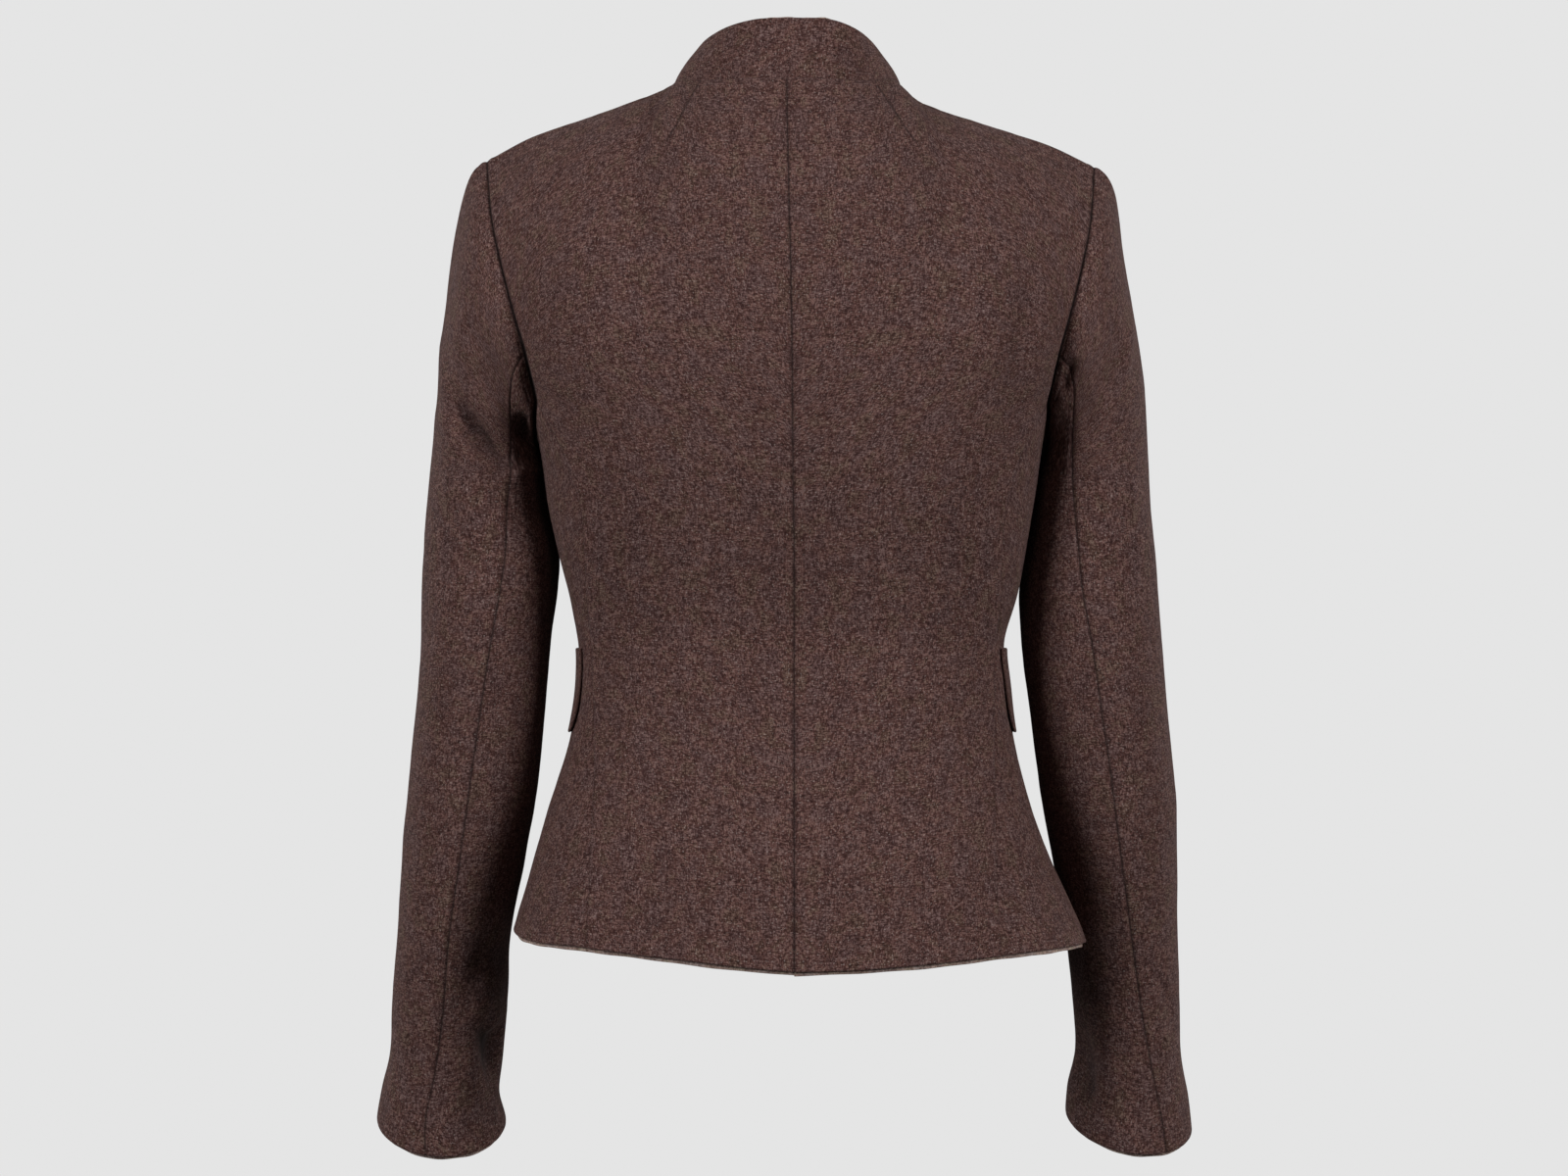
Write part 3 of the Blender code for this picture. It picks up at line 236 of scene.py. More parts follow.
# The angle round the sleeve of its back seam, and of its front seam, from the outer side.
SLEEVE_SEAM_COLUMNS = ("z", "left_back", "right_back", "front")
SLEEVE_SEAM_ROWS = (
    (-675, 80, 56, -130),
    (-645, 80, 62, -132),
    (-590, 87, 77, -134),
    (-510, 90, 87, -135),
    (-410, 94, 91, -136),
    (-345, 101, 96, -136),
    (-290, 108, 106, -134),
    (-240, 121, 118, -130),
)

# Stations round the armhole run down the back from 0 to 1, under the arm to 2 and up the front
# to 3. This gives the matching angle round the sleeve and the cap's handles there.
CAP_COLUMNS = ("station", "angle", "start", "finish")
CAP_ROWS = (
    (0.00, 0, 24, 116),
    (0.40, 52, 24, 88),
    (0.78, 108, 22, 46),
    (1.00, 140, 14, 20),
    (1.50, 181, 8, 9),
    (2.00, 222, 14, 20),
    (2.22, 250, 22, 44),
    (2.60, 306, 26, 85),
    (3.00, 360, 24, 116),
)
BACK_SEAM_STATION, FRONT_SEAM_STATION = 7 / 9, 2 + 2 / 9

# The largest folds of the sleeves: where they lie, their slant, half length and half width,
# and how far they stand out or sink in.
FOLD_COLUMNS = ("side", "angle", "z", "slant", "half_length", "half_width", "height")
FOLD_ROWS = (
    (LEFT, 80, -226, -58, 34, 9, -4.4),
    (LEFT, 56, -240, -60, 40, 13, 2.6),
    (LEFT, 126, -252, -40, 20, 9, 2.6),
    (LEFT, 146, -226, -20, 20, 10, -4.0),
    (LEFT, 132, -300, 90, 48, 15, 3.0),
    (LEFT, 160, -286, -84, 30, 9, -2.0),
    (LEFT, 30, -345, 40, 40, 18, -1.4),
    (LEFT, 160, -614, 76, 34, 11, -4.4),
    (LEFT, 126, -590, 70, 40, 12, 2.0),
    (RIGHT, 0, -112, 0, 70, 50, -6.0),
    (RIGHT, 98, -218, 52, 38, 12, -2.6),
    (RIGHT, 66, -252, 50, 44, 15, 1.8),
    (RIGHT, 128, -272, 90, 56, 15, 3.2),
    (RIGHT, 41, -584, 62, 18, 9, -2.2),
    (RIGHT, 160, -628, -72, 24, 10, -2.8),
    (RIGHT, 120, -622, -60, 30, 12, 1.8),
)

# Pocket flaps on the hips.
FLAP = {"back_turn": 77, "front_turn": 134, "top_z": -360, "depth": 54, "cloth": 1.8}
FLAP_CORNER = 0.30

# The distance between grid lines on a panel, and the extra ones beside each edge.
GRID = 3.4
BESIDE_EDGE = (0.35, 0.9, 1.7, 2.9, 4.4, 6.0, 7.6)

# How plainly a seam shows, in its shape and in the shade painted along it.
HIDDEN, FAINT, SOFT, PLAIN, DEEP = 0.08, 0.25, 0.45, 0.75, 0.95

# How far the cloth turns in at a seam, how far it ripples beside it, how far from the seam the
# painted shade reaches, how far the allowance pressed under it stands out, and how free edges round.
SEAM_DROP, SEAM_REACH = 0.75, 1.25
PUCKER, PUCKER_REACH = 0.16, 9.0
PAINTED_SEAM_SHADE_REACH = 0.7
ALLOWANCE = 0.22
FREE_EDGE_RADIUS = 1.0

# The shade painted into a trough's colour for its depth squared, down to the deepest that counts.
PAINTED_TROUGH_SHADE, HOLLOW_DEEPEST = 0.018, 7

# How far the sleeve falls in beside the armhole seam, at its stations, and how far from it.
ROLL_COLUMNS = ("station", "fall")
ROLL_ROWS = (
    (0.0, -0.2),
    (0.3, -0.6),
    (0.6, -1.9),
    (0.9, -2.4),
    (1.2, -1.2),
    (1.9, -1.0),
    (2.4, -1.2),
    (3.0, -0.2),
)
ROLL_REACH = 6.5

# How far a pocket flap stands off the hip.
FLAP_LIFT = 0.5

# Creases of the body, as seen from behind or in front: two ends, half width and height.
CREASE_COLUMNS = ("face", "x1", "z1", "x2", "z2", "half_width", "height")
BACK, FRONT = 1, -1
BODY_CREASE_ROWS = (
    (BACK, -146, -126, -134, -216, 7, -2.8),
    (BACK, -158, -132, -146, -222, 8, 1.5),
    (BACK, 163, -214, 143, -276, 8, -1.3),
    (BACK, 170, -160, 160, -206, 9, -1.0),
    (BACK, 66, -346, 14, -354, 7, -0.6),
    (BACK, -12, -352, -74, -342, 8, -0.7),
    (BACK, 122, -330, 84, -352, 9, -0.8),
    (BACK, -120, -322, -88, -350, 8, -0.7),
    (BACK, 84, -46, 96, -110, 12, -0.7),
    (BACK, -80, -48, -92, -120, 12, -0.7),
    (BACK, 132, -470, 138, -570, 15, 1.4),
    (BACK, 88, -462, 92, -575, 16, -1.3),
    (BACK, 38, -480, 40, -575, 17, 0.9),
    (BACK, -36, -476, -38, -575, 18, -0.7),
    (BACK, -72, -470, -76, -575, 15, 1.3),
    (BACK, -118, -462, -124, -575, 17, -1.4),
    (BACK, 110, -180, 60, -196, 22, -0.7),
    (BACK, -104, -188, -52, -196, 22, -0.6),
    (FRONT, 120, -152, 150, -190, 9, -1.2),
    (FRONT, -122, -158, -150, -196, 9, -1.2),
    (FRONT, 96, -338, 40, -352, 9, -0.9),
    (FRONT, -100, -336, -42, -350, 9, -0.9),
    (FRONT, 84, -470, 90, -575, 18, 1.2),
    (FRONT, -84, -470, -92, -575, 18, 1.2),
    (FRONT, 54, -300, 66, -330, 16, -0.8),
    (FRONT, -56, -300, -66, -332, 16, -0.8),
)
SLEEVE_CREASE_ROWS = (
    (BACK, 171, -213, 170, -228, 5, -4.8),
    (BACK, 168, -230, 154, -231, 11, 4.8),
    (BACK, 180, -250, 157, -244, 5, 2.2),
    (BACK, 165, -262, 160, -290, 4, -1.2),
    (BACK, 225, -211, 190, -259, 6, 3.8),
    (BACK, 218, -200, 179, -251, 6, -5.6),
    (BACK, 203, -156, 184, -206, 9, -3.0),
    (BACK, 214, -148, 201, -185, 9, 1.5),
    (BACK, 226, -160, 219, -216, 2.8, 1.2),
    (BACK, 206, -560, 184, -566, 12, -3.0),
    (BACK, 197, -600, 190, -640, 7, -6.8),
    (BACK, 183, -590, 194, -607, 3.0, 3.2),
    (BACK, 197, -640, 188, -658, 4, 3.0),
    (BACK, -175, -178, -166, -199, 6, -5.0),
    (BACK, -178, -194, -183, -236, 4, 1.6),
    (BACK, -214, -153, -209, -190, 2.8, 1.4),
    (BACK, -205, -150, -200, -196, 5, -1.6),
    (BACK, -183, -606, -188, -660, 8, -5.6),
    (BACK, -176, -619, -179, -656, 3, 2.2),
    (BACK, -237.5, -569, -242, -587, 2.8, 1.4),
)

# The lines across the edge strips, above the hem, the cuff or, turned over, the collar's top.
EDGE_LINES = (-1.8, -1.5, -0.8, 0.4, 2.0, 4.6, 8.0, 12.0)

# Low unevenness of pressed wool: wavelengths and height.
UNEVEN_COLUMNS = ("wavelength", "height")
UNEVEN_ROWS = (
    (120, 0.50),
    (62, 0.28),
    (31, 0.15),
    (17, 0.07),
)

# The neck darts on the back: their two ends as seen from behind.
DARTS = {
    LEFT: ((60.0, -4.0), (80.0, -44.0)),
    RIGHT: ((-54.0, -6.0), (-76.0, -43.0)),
}
DART_DEPTH, DART_REACH = 0.9, 4.0

# The threads of the brown wool and of the light edge cloth, from dark to light.
BROWN_THREADS = ((0.020, 0.0080, 0.0068), (0.058, 0.0275, 0.0238), (0.150, 0.094, 0.083))
TAUPE_THREADS = ((0.13, 0.088, 0.074), (0.26, 0.195, 0.168), (0.42, 0.345, 0.30))
HORN_STREAKS = ((0.35, (0.03, 0.016, 0.009)), (0.55, (0.09, 0.05, 0.028)), (0.7, (0.2, 0.13, 0.08)))
LOOSE_FIBRE = (0.32, 0.26, 0.24, 1)
# Near-black, mixed into the wool's colour as painted shade along seams, darts and troughs.
PAINTED_SHADE_COLOUR = (0.006, 0.003, 0.003, 1)

# The camera's place in metres, its lens in millimetres and where it looks.
CAMERA = {"distance": 3.0, "lens": 108.0, "sensor": 36, "aim": (0.00625, 0.0, -0.3219)}

# The soft lights, in metres and watts. All aim at the middle of the jacket.
WHITE, WARM = (1, 1, 1), (1.0, 0.78, 0.72)
LIGHT_COLUMNS = ("name", "place", "size", "watts", "colour")
LIGHT_ROWS = (
    ("key_left", (2.2, 1.9, 0.6), (1.0, 1.7), 74, WHITE),
    ("rim_left", (2.2, -1.8, 0.5), (1.2, 2.0), 22, WHITE),
    ("key_right", (-2.2, 1.9, 0.6), (1.0, 1.7), 74, WHITE),
    ("rim_right", (-2.2, -1.8, 0.5), (1.2, 2.0), 22, WHITE),
    ("top", (0, 1.4, 2.0), (1.8, 1.2), 7, WARM),
)
LIGHT_AIM = (0, 0, -0.3)

# The studio floor's profile in metres: how far out and how high above the floor.
FLOOR_Z = -1.15
FLOOR_COLUMNS = ("out", "up")
FLOOR_ROWS = ((0.0, 0.0), (3.4, 0.0), (4.2, 0.12), (4.75, 0.6), (5.0, 1.4), (5.0, 4.2))


def through(knots, values, at):
    """A smooth curve through a table's rows: cubic between knots, its slope at each knot the
    parabola's through the two neighbours."""
    knots = np.asarray(knots, float)
    values = np.asarray(values, float)
    at = np.asarray(at, float)
    wide = np.diff(knots)
    rise = np.diff(values, axis=0) / wide[:, None]
    inner = (wide[:-1, None] * rise[1:] + wide[1:, None] * rise[:-1]) / (wide[:-1] + wide[1:])[:, None]
    slope = np.concatenate([rise[:1], inner, rise[-1:]])
    i = np.clip(np.searchsorted(knots, at, side="right") - 1, 0, len(wide) - 1)
    h = wide[i][..., None]
    u = (at - knots[i])[..., None] / h
    a = values[i] * (1 + 2 * u) * (1 - u) ** 2 + values[i + 1] * u * u * (3 - 2 * u)
    return a + h * (slope[i] * u * (1 - u) ** 2 - slope[i + 1] * u * u * (1 - u))


def table(columns, rows):
    """A function that reads the table at any value of its first column, as a dict of arrays."""
    knots = [row[0] for row in rows]
    values = [row[1:] for row in rows]

    def read(at):
        found = through(knots, values, at)
        return {name: found[..., k] for k, name in enumerate(columns[1:])}

    return read


def points(x, y, z):
    return np.stack(np.broadcast_arrays(x, y, z), axis=-1).astype(float)


def unit(v):
    return v / np.linalg.norm(v, axis=-1, keepdims=True)


def smoothstep(u):
    u = np.clip(u, 0, 1)
    return u * u * (3 - 2 * u)


def sided(side, row, name):
    """The column of the wearer's left or right."""
    return row[("left" if side == LEFT else "right") + name]


body_table = table(BODY_COLUMNS, BODY_ROWS)
hem_table = table(HEM_COLUMNS, HEM_ROWS)
side_seam_table = table(SIDE_SEAM_COLUMNS, SIDE_SEAM_ROWS)
neck_table = table(NECK_COLUMNS, NECK_ROWS)
shoulder_table = table(SHOULDER_COLUMNS, SHOULDER_ROWS)
armhole_table = table(ARMHOLE_COLUMNS, ARMHOLE_ROWS)
back_bend_table = table(BEND_COLUMNS, BACK_BEND_ROWS)
front_bend_table = table(BEND_COLUMNS, FRONT_BEND_ROWS)
collar_table = table(COLLAR_COLUMNS, COLLAR_ROWS)
cap_table = table(CAP_COLUMNS, CAP_ROWS)
sleeve_seam_table = table(SLEEVE_SEAM_COLUMNS, SLEEVE_SEAM_ROWS)
sleeve_tables = {
    LEFT: table(SLEEVE_COLUMNS, LEFT_SLEEVE_ROWS),
    RIGHT: table(SLEEVE_COLUMNS, RIGHT_SLEEVE_ROWS),
}


def swelling(shape, turn, z):
    """A soft round rise or hollow on the body."""
    from_back = 180 - np.abs(180 - turn)
    across = (from_back - shape["turn"]) / shape["spread"]
    along = (z - shape["z"]) / shape["height"]
    return shape["depth"] * np.exp(-across * across - along * along)


def half_width(side, row):
    return sided(side, row, "") - side * row["middle"]


def body(side, turn, z):
    """A point of the body, turn degrees round from centre back: an oval, fuller than an ellipse
    between its axes, whose size is the table's at that height."""
    row = body_table(z)
    a = np.radians(turn)
    depth = np.where(np.cos(a) > 0, row["back"] - row["side_y"], row["side_y"] - row["front"])
    y = row["side_y"] + depth * np.cos(a) * (1 + FULLNESS * np.sin(a) ** 2)
    y = y - swelling(BUST, turn, z) + swelling(SPINE, turn, z)
    return points(row["middle"] + side * half_width(side, row) * np.sin(a), y, z)


def turn_at(side, x, z):
    """The angle at which the body's back is x from its centre line."""
    return np.degrees(np.arcsin(x / half_width(side, body_table(z))))


def back_seam_turn(side, z):
    return turn_at(side, side_seam_table(z)["back_x"], z)


def front_seam_turn(z):
    return side_seam_table(z)["front_turn"]


def front_edge_turn(side, z):
    """The angle of the lapped edge, past centre front."""
    return 180 + turn_at(side, LAP, z)


def hem_height(side, turn):
    return sided(side, hem_table(turn), "")


def level(rise):
    """The height of a row that is rise of the way from hem to underarm, before the hem's curve."""
    return HEM_Z + rise * (UNDERARM_Z - HEM_Z)


def lower_body(side, turn, rise):
    """The body between the hem at rise 0 and the underarm level at rise 1."""
    low = hem_height(side, turn)
    return body(side, turn, low + rise * (UNDERARM_Z - low))


def bezier(p0, p1, p2, p3, t):
    t = t[..., None]
    s = 1 - t
    return p0 * s**3 + 3 * p1 * s * s * t + 3 * p2 * s * t * t + p3 * t**3


def armhole_edge(side, rise, which):
    """The armhole's back or front edge, moved so that its ends meet the side seam and the
    shoulder seam."""
    row = armhole_table(rise)
    edge = points(side * row[which + "_x"], row[which + "_y"], row["z"])
    ends = armhole_table(np.array([0.0, 1.0]))
    ends = points(side * ends[which + "_x"], ends[which + "_y"], ends["z"])
    turn = back_seam_turn(side, UNDERARM_Z) if which == "back" else front_seam_turn(UNDERARM_Z)
    bottom = body(side, turn, UNDERARM_Z) - ends[0]
    top = shoulder(side, np.array(1.0)) - ends[1]
    rise = np.asarray(rise, float)[..., None]
    return edge + bottom * (1 - rise) + top * rise


def neckline(side, station):
    row = neck_table(station)
    return sunk(side, points(sided(side, row, "_x"), row["y"], sided(side, row, "_z")))


def sunk(side, found):
    """The left front lies behind the right one where they lap."""
    if side == RIGHT:
        return found
    in_front = found[..., 1] < 0
    behind = LAP_SINK * smoothstep((LAP + 6 + LAP_FADE - found[..., 0]) / LAP_FADE) * in_front
    return found + behind[..., None] * [0, 1, 0]


def shoulder(side, station):
    row = shoulder_table(station)
    return points(sided(side, row, "_x"), row["y"], sided(side, row, "_z"))


def upper_body(side, across, rise, which):
    """The body above the underarm: each line leaves the lower body in its direction and bends,
    as a cubic with two handles, to the neckline or the shoulder seam. Towards the armhole the
    lines are drawn over to its edge."""
    across, rise = np.broadcast_arrays(np.asarray(across, float), np.asarray(rise, float))
    edge = bent_line(side, np.ones_like(across), rise, which)
    pull = armhole_edge(side, rise, which) - edge
    return bent_line(side, across, rise, which) + pull * (across**3)[..., None]


def bent_line(side, across, rise, which):
    panel = lower_back if which == "back" else lower_front
    share = BACK_NECK_SHARE if which == "back" else FRONT_NECK_SHARE
    bend = (back_bend_table if which == "back" else front_bend_table)(across)
    one = np.ones_like(across)
    start = panel(side, across, one)
    upwards = unit(start - panel(side, across, one - 0.01))
    in_neck = np.clip(across / share, 0, 1)
    station = in_neck if which == "back" else LAP_EDGE - (LAP_EDGE - NECK_POINT) * in_neck
    on_shoulder = np.clip((across - share) / (1 - share), 0, 1)
    top = np.where((across < share)[..., None], neckline(side, station), shoulder(side, on_shoulder))
    lean = unit(points(side * bend["lean_x"], bend["lean_y"], bend["lean_z"]))
    low = start + upwards * bend["low"][..., None]
    high = top - lean * bend["high"][..., None]
    return bezier(start, low, high, top, rise)


def lower_back(side, across, rise):
    turn = across * back_seam_turn(side, level(rise))
    return lower_body(side, turn, rise)


def lower_front(side, across, rise):
    edge = front_edge_turn(side, level(rise))
    turn = edge + across * (front_seam_turn(level(rise)) - edge)
    return sunk(side, lower_body(side, turn, rise))


def back_panel(side, across, rise):
    """The back, from centre back at across 0 to the side-back seam and the armhole at 1, and
    from the hem at rise 0 over the underarm at 1 to the neck and shoulder at 2."""
    across, rise = np.broadcast_arrays(np.asarray(across, float), np.asarray(rise, float))
    low = lower_back(side, across, np.minimum(rise, 1))
    high = upper_body(side, across, np.clip(rise - 1, 0, 1), "back")
    return np.where((rise <= 1)[..., None], low, high)


def front_panel(side, across, rise):
    """The front, from its lapped edge at across 0 to the side-front seam and the armhole at 1."""
    across, rise = np.broadcast_arrays(np.asarray(across, float), np.asarray(rise, float))
    low = lower_front(side, across, np.minimum(rise, 1))
    high = upper_body(side, across, np.clip(rise - 1, 0, 1), "front")
    return np.where((rise <= 1)[..., None], low, high)


def side_panel(side, across, rise):
    """The side, from the side-back seam at across 0 to the side-front seam at 1. Its top dips
    to make the bottom of the armhole."""
    across, rise = np.broadcast_arrays(np.asarray(across, float), np.asarray(rise, float))
    first = back_seam_turn(side, level(rise))
    turn = first + across * (front_seam_turn(level(rise)) - first)
    low = hem_height(side, turn)
    top = UNDERARM_Z - ARMHOLE_DIP * np.sin(np.pi * across)
    return body(side, turn, low + rise * (top - low))


def normals(surface, u, v, outward, u_ends=(0, 1), v_ends=(0, 2)):
    """Unit normals of a surface of two parameters, from its slopes over a very small step."""
    step = 1e-3
    u, v = np.broadcast_arrays(np.asarray(u, float), np.asarray(v, float))
    u_low, u_high = np.maximum(u - step, u_ends[0]), np.minimum(u + step, u_ends[1])
    v_low, v_high = np.maximum(v - step, v_ends[0]), np.minimum(v + step, v_ends[1])
    along_u = surface(u_high, v) - surface(u_low, v)
    along_v = surface(u, v_high) - surface(u, v_low)
    return outward * unit(np.cross(along_u, along_v))


def back_normals(side, across, rise):
    """The back's normals. Both backs share one at centre back."""
    found = normals(lambda u, v: back_panel(side, u, v), across, rise, -side)
    mirrored = normals(lambda u, v: back_panel(-side, u, v), across, rise, side)
    return np.where((np.asarray(across) < NEAR)[..., None], unit(found + mirrored), found)


def front_normals(side, across, rise):
    return normals(lambda u, v: front_panel(side, u, v), across, rise, side)


def side_normals(side, across, rise):
    return normals(lambda u, v: side_panel(side, u, v), across, rise, -side, v_ends=(0, 1))


def mitre(body_normal, joined_normal, run):
    """For a seam with this direction, between two walls with these normals: the step through
    the cloth that both walls' ends share, for cloth one millimetre thick, and the direction
    across the seam from the first wall to the second."""
    through_cloth = unit(body_normal + joined_normal)
    across_seam = unit(np.cross(run, through_cloth))
    lean = np.maximum((through_cloth * body_normal).sum(-1, keepdims=True), 0.6)
    return through_cloth / lean, across_seam


def neck_mitre(side, station):
    """The mitre between the body and the collar, pointing up out of the body."""
    station = np.asarray(station, float)
    on_back = np.clip(station, 0, 1) * BACK_NECK_SHARE
    on_front = np.clip((LAP_EDGE - station) / (LAP_EDGE - NECK_POINT), 0, 1) * FRONT_NECK_SHARE
    top = np.full_like(station, 2.0)
    body_normal = (station < 1 + NEAR)[..., None] * back_normals(side, on_back, top)
    body_normal = body_normal + (station > 1 - NEAR)[..., None] * front_normals(side, on_front, top)
    step = 1e-3
    low = np.maximum(station - step, 0)
    run = side * unit(neckline(side, station + step) - neckline(side, low))
    at = side * np.maximum(station, NEAR)
    joined = unit(np.cross(collar(at, 0.1 + 0 * at) - collar(at, 0 * at), run))
    return mitre(unit(body_normal), joined, run)


def armhole_point(side, station):
    """The armhole's edge: stations run down the back to 1, under the arm to 2 and up to 3."""
    station = np.mod(np.asarray(station, float), 3.0)
    one = np.ones_like(station)
    back = back_panel(side, one, 2 - np.clip(station, 0, 1))
    under = side_panel(side, np.clip(station - 1, 0, 1), one)
    front = front_panel(side, one, np.clip(station - 1, 1, 2))
    found = np.where((station <= 1)[..., None], back, under)
    return np.where((station >= 2)[..., None], front, found)


def armhole_mitre(side, station):
    """The mitre between the body and the sleeve, pointing out of the body."""
    station = np.mod(np.asarray(station, float), 3.0)
    one = np.ones_like(station)
    on_back = (station < 1 + NEAR) | (station > 3 - NEAR)
    on_side = (station > 1 - NEAR) & (station < 2 + NEAR)
    on_front = (station > 2 - NEAR) | (station < NEAR)
    back_rise = 2 - np.clip(np.where(station > 2, 0, station), 0, 1)
    body_normal = on_back[..., None] * back_normals(side, one, back_rise)
    body_normal = body_normal + on_side[..., None] * side_normals(side, np.clip(station - 1, 0, 1), one)
    up_front = np.where(station < 1, 2, np.clip(station - 1, 1, 2))
    body_normal = body_normal + on_front[..., None] * front_normals(side, one, up_front)
    step = 1e-3
    run = side * unit(armhole_point(side, station + step) - armhole_point(side, station - step))
    joined = unit(np.cross(cap_direction(side, station), run))
    return mitre(unit(body_normal), joined, run)


def cap_direction(side, station):
    """The direction in which the sleeve leaves the armhole."""
    a = np.radians(cap_table(np.mod(station, 3.0))["angle"])
    return unit(points(side * (0.75 + 0.15 * np.cos(a)), 0.30 * np.sin(a), 0.3 * np.cos(a) - 0.6))


def shoulder_normals(side, on_shoulder):
    """The normal that front and back share along the shoulder seam, and the mitres at its ends."""
    top = np.full_like(on_shoulder, 2.0)
    back = back_normals(side, BACK_NECK_SHARE + on_shoulder * (1 - BACK_NECK_SHARE), top)
    front = front_normals(side, FRONT_NECK_SHARE + on_shoulder * (1 - FRONT_NECK_SHARE), top)
    found = unit(back + front)
    at_neck = neck_mitre(side, np.ones_like(on_shoulder))[0]
    at_arm = armhole_mitre(side, np.zeros_like(on_shoulder))[0]
    found = np.where((on_shoulder < NEAR)[..., None], at_neck, found)
    return np.where((on_shoulder > 1 - NEAR)[..., None], at_arm, found)


def sewn_normals(side, which, columns, rows):
    """The normals of a front's or back's grid, with the mitres that it shares with the pieces
    sewn to it along its top and its armhole."""
    across, rise = np.meshgrid(columns, rows)
    found = (back_normals if which == "back" else front_normals)(side, across, rise)
    share = BACK_NECK_SHARE if which == "back" else FRONT_NECK_SHARE
    at_neck = columns < share - NEAR
    in_neck = columns[at_neck] / share
    station = in_neck if which == "back" else LAP_EDGE - (LAP_EDGE - NECK_POINT) * in_neck
    found[-1, at_neck] = neck_mitre(side, station)[0]
    found[-1, ~at_neck] = shoulder_normals(side, (columns[~at_neck] - share) / (1 - share))
    at_arm = rows > 1 - NEAR
    station = 2 - rows[at_arm] if which == "back" else 1 + rows[at_arm]
    found[at_arm, -1] = armhole_mitre(side, station)[0]
    return found


def inset(grid, first_row=0.0, last_row=0.0, first_column=0.0, last_column=0.0):
    """A grid of points with its edges drawn in by these lengths, one or one for each point."""
    drawn = grid.copy()
    drawn[0] += unit(grid[1] - grid[0]) * np.reshape(first_row, (-1, 1))
    drawn[-1] += unit(grid[-2] - grid[-1]) * np.reshape(last_row, (-1, 1))
    drawn[:, 0] += unit(grid[:, 1] - grid[:, 0]) * np.reshape(first_column, (-1, 1))
    drawn[:, -1] += unit(grid[:, -2] - grid[:, -1]) * np.reshape(last_column, (-1, 1))
    return drawn


def plain_ring(side, angle, z):
    """A point round the sleeve, angle degrees from its outer side towards the back: an oval of
    the table's size, its back and outer side lowered by the table's slopes."""
    row = sleeve_tables[side](z)
    a = np.radians(angle)
    out = (row["outer"] - row["inner"]) / 2 * np.cos(a)
    back = row["half_depth"] * np.sin(a)
    drop = row["drop_back"] * back + row["drop_out"] * out
    return points(side * ((row["outer"] + row["inner"]) / 2 + out), row["y"] + back, z - drop)


def sleeve_ring(side, angle, z):
    """The same ring with the sleeve's folds."""
    return folded(side, plain_ring(side, angle, z), angle, z, 1.0)


def folded(side, found, angle, z, share):
    """Points of the sleeve moved out from its middle line by a share of the folds' height."""
    row = sleeve_tables[side](np.clip(z, CUFF_Z, SLEEVE_TOP_Z))
    middle = points(side * (row["outer"] + row["inner"]) / 2, row["y"], found[..., 2])
    return found + unit(found - middle) * (sleeve_folds(side, angle, z) * share)[..., None]


def sleeve_folds(side, angle, z):
    """How far the folds stand out, as soft ridges and troughs that lie slantwise. They fade
    out above the cuff."""
    total = np.zeros(np.broadcast(angle, z).shape)
    for row in FOLD_ROWS:
        fold = dict(zip(FOLD_COLUMNS, row))
        if fold["side"] != side:
            continue
        slant = math.radians(fold["slant"])
        round_it = (np.mod(angle - fold["angle"] + 180, 360) - 180) * math.radians(1) * 50
        up = z - fold["z"]
        along = (round_it * math.cos(slant) + up * math.sin(slant)) / fold["half_length"]
        across = (up * math.cos(slant) - round_it * math.sin(slant)) / fold["half_width"]
        total = total + fold["height"] * np.exp(-along * along - across * across)
    return total * smoothstep((z - CUFF_Z - 4) / 26)


def sleeve_angles(side, start_angle, z, part):
    """The angle, lower down, of the line that leaves the armhole at start_angle."""
    seams = sleeve_seam_table(np.clip(z, SLEEVE_SEAM_ROWS[0][0], SLEEVE_SEAM_ROWS[-1][0]))
    back = sided(side, seams, "_back")
    front = seams["front"]
    first_back = cap_table(np.array(BACK_SEAM_STATION))["angle"]
    first_front = cap_table(np.array(FRONT_SEAM_STATION))["angle"] - 360
    if part == "upper":
        share = np.where(start_angle > 0, back / first_back, front / first_front)
        return start_angle * share
    share = (start_angle - first_back) / (first_front + 360 - first_back)
    return back + share * (front + 360 - back)


def sleeve(side, part, station, rise):
    """The sleeve's upper or under part. Rise 0 to 1 is the cap, each line bending from the
    armhole to the first whole ring, and 1 to 2 is the arm down to the cuff."""
    station, rise = np.broadcast_arrays(np.asarray(station, float), np.asarray(rise, float))
    row = cap_table(np.mod(station, 3.0))
    start_angle = np.where(station < 0, row["angle"] - 360, row["angle"])
    z = SLEEVE_TOP_Z + np.clip(rise - 1, 0, 1) * (CUFF_Z - SLEEVE_TOP_Z)
    arm = sleeve_ring(side, sleeve_angles(side, start_angle, z, part), z)
    top_z = np.full_like(z, SLEEVE_TOP_Z)
    angle = sleeve_angles(side, start_angle, top_z, part)
    ring = plain_ring(side, angle, top_z)
    lower = plain_ring(side, sleeve_angles(side, start_angle, top_z - 4, part), top_z - 4)
    stations, place = np.unique(station, return_inverse=True)
    start = armhole_point(side, stations) + armhole_mitre(side, stations)[1] * SEAM_GAP
    start = start[place.reshape(station.shape)]
    leaving = start + cap_direction(side, station) * row["start"][..., None]
    arriving = ring + unit(ring - lower) * row["finish"][..., None]
    cap = bezier(start, leaving, arriving, ring, np.clip(rise, 0, 1))
    cap = folded(side, cap, angle, cap[..., 2], smoothstep(rise * 2.2))
    return np.where((rise <= 1)[..., None], cap, arm)


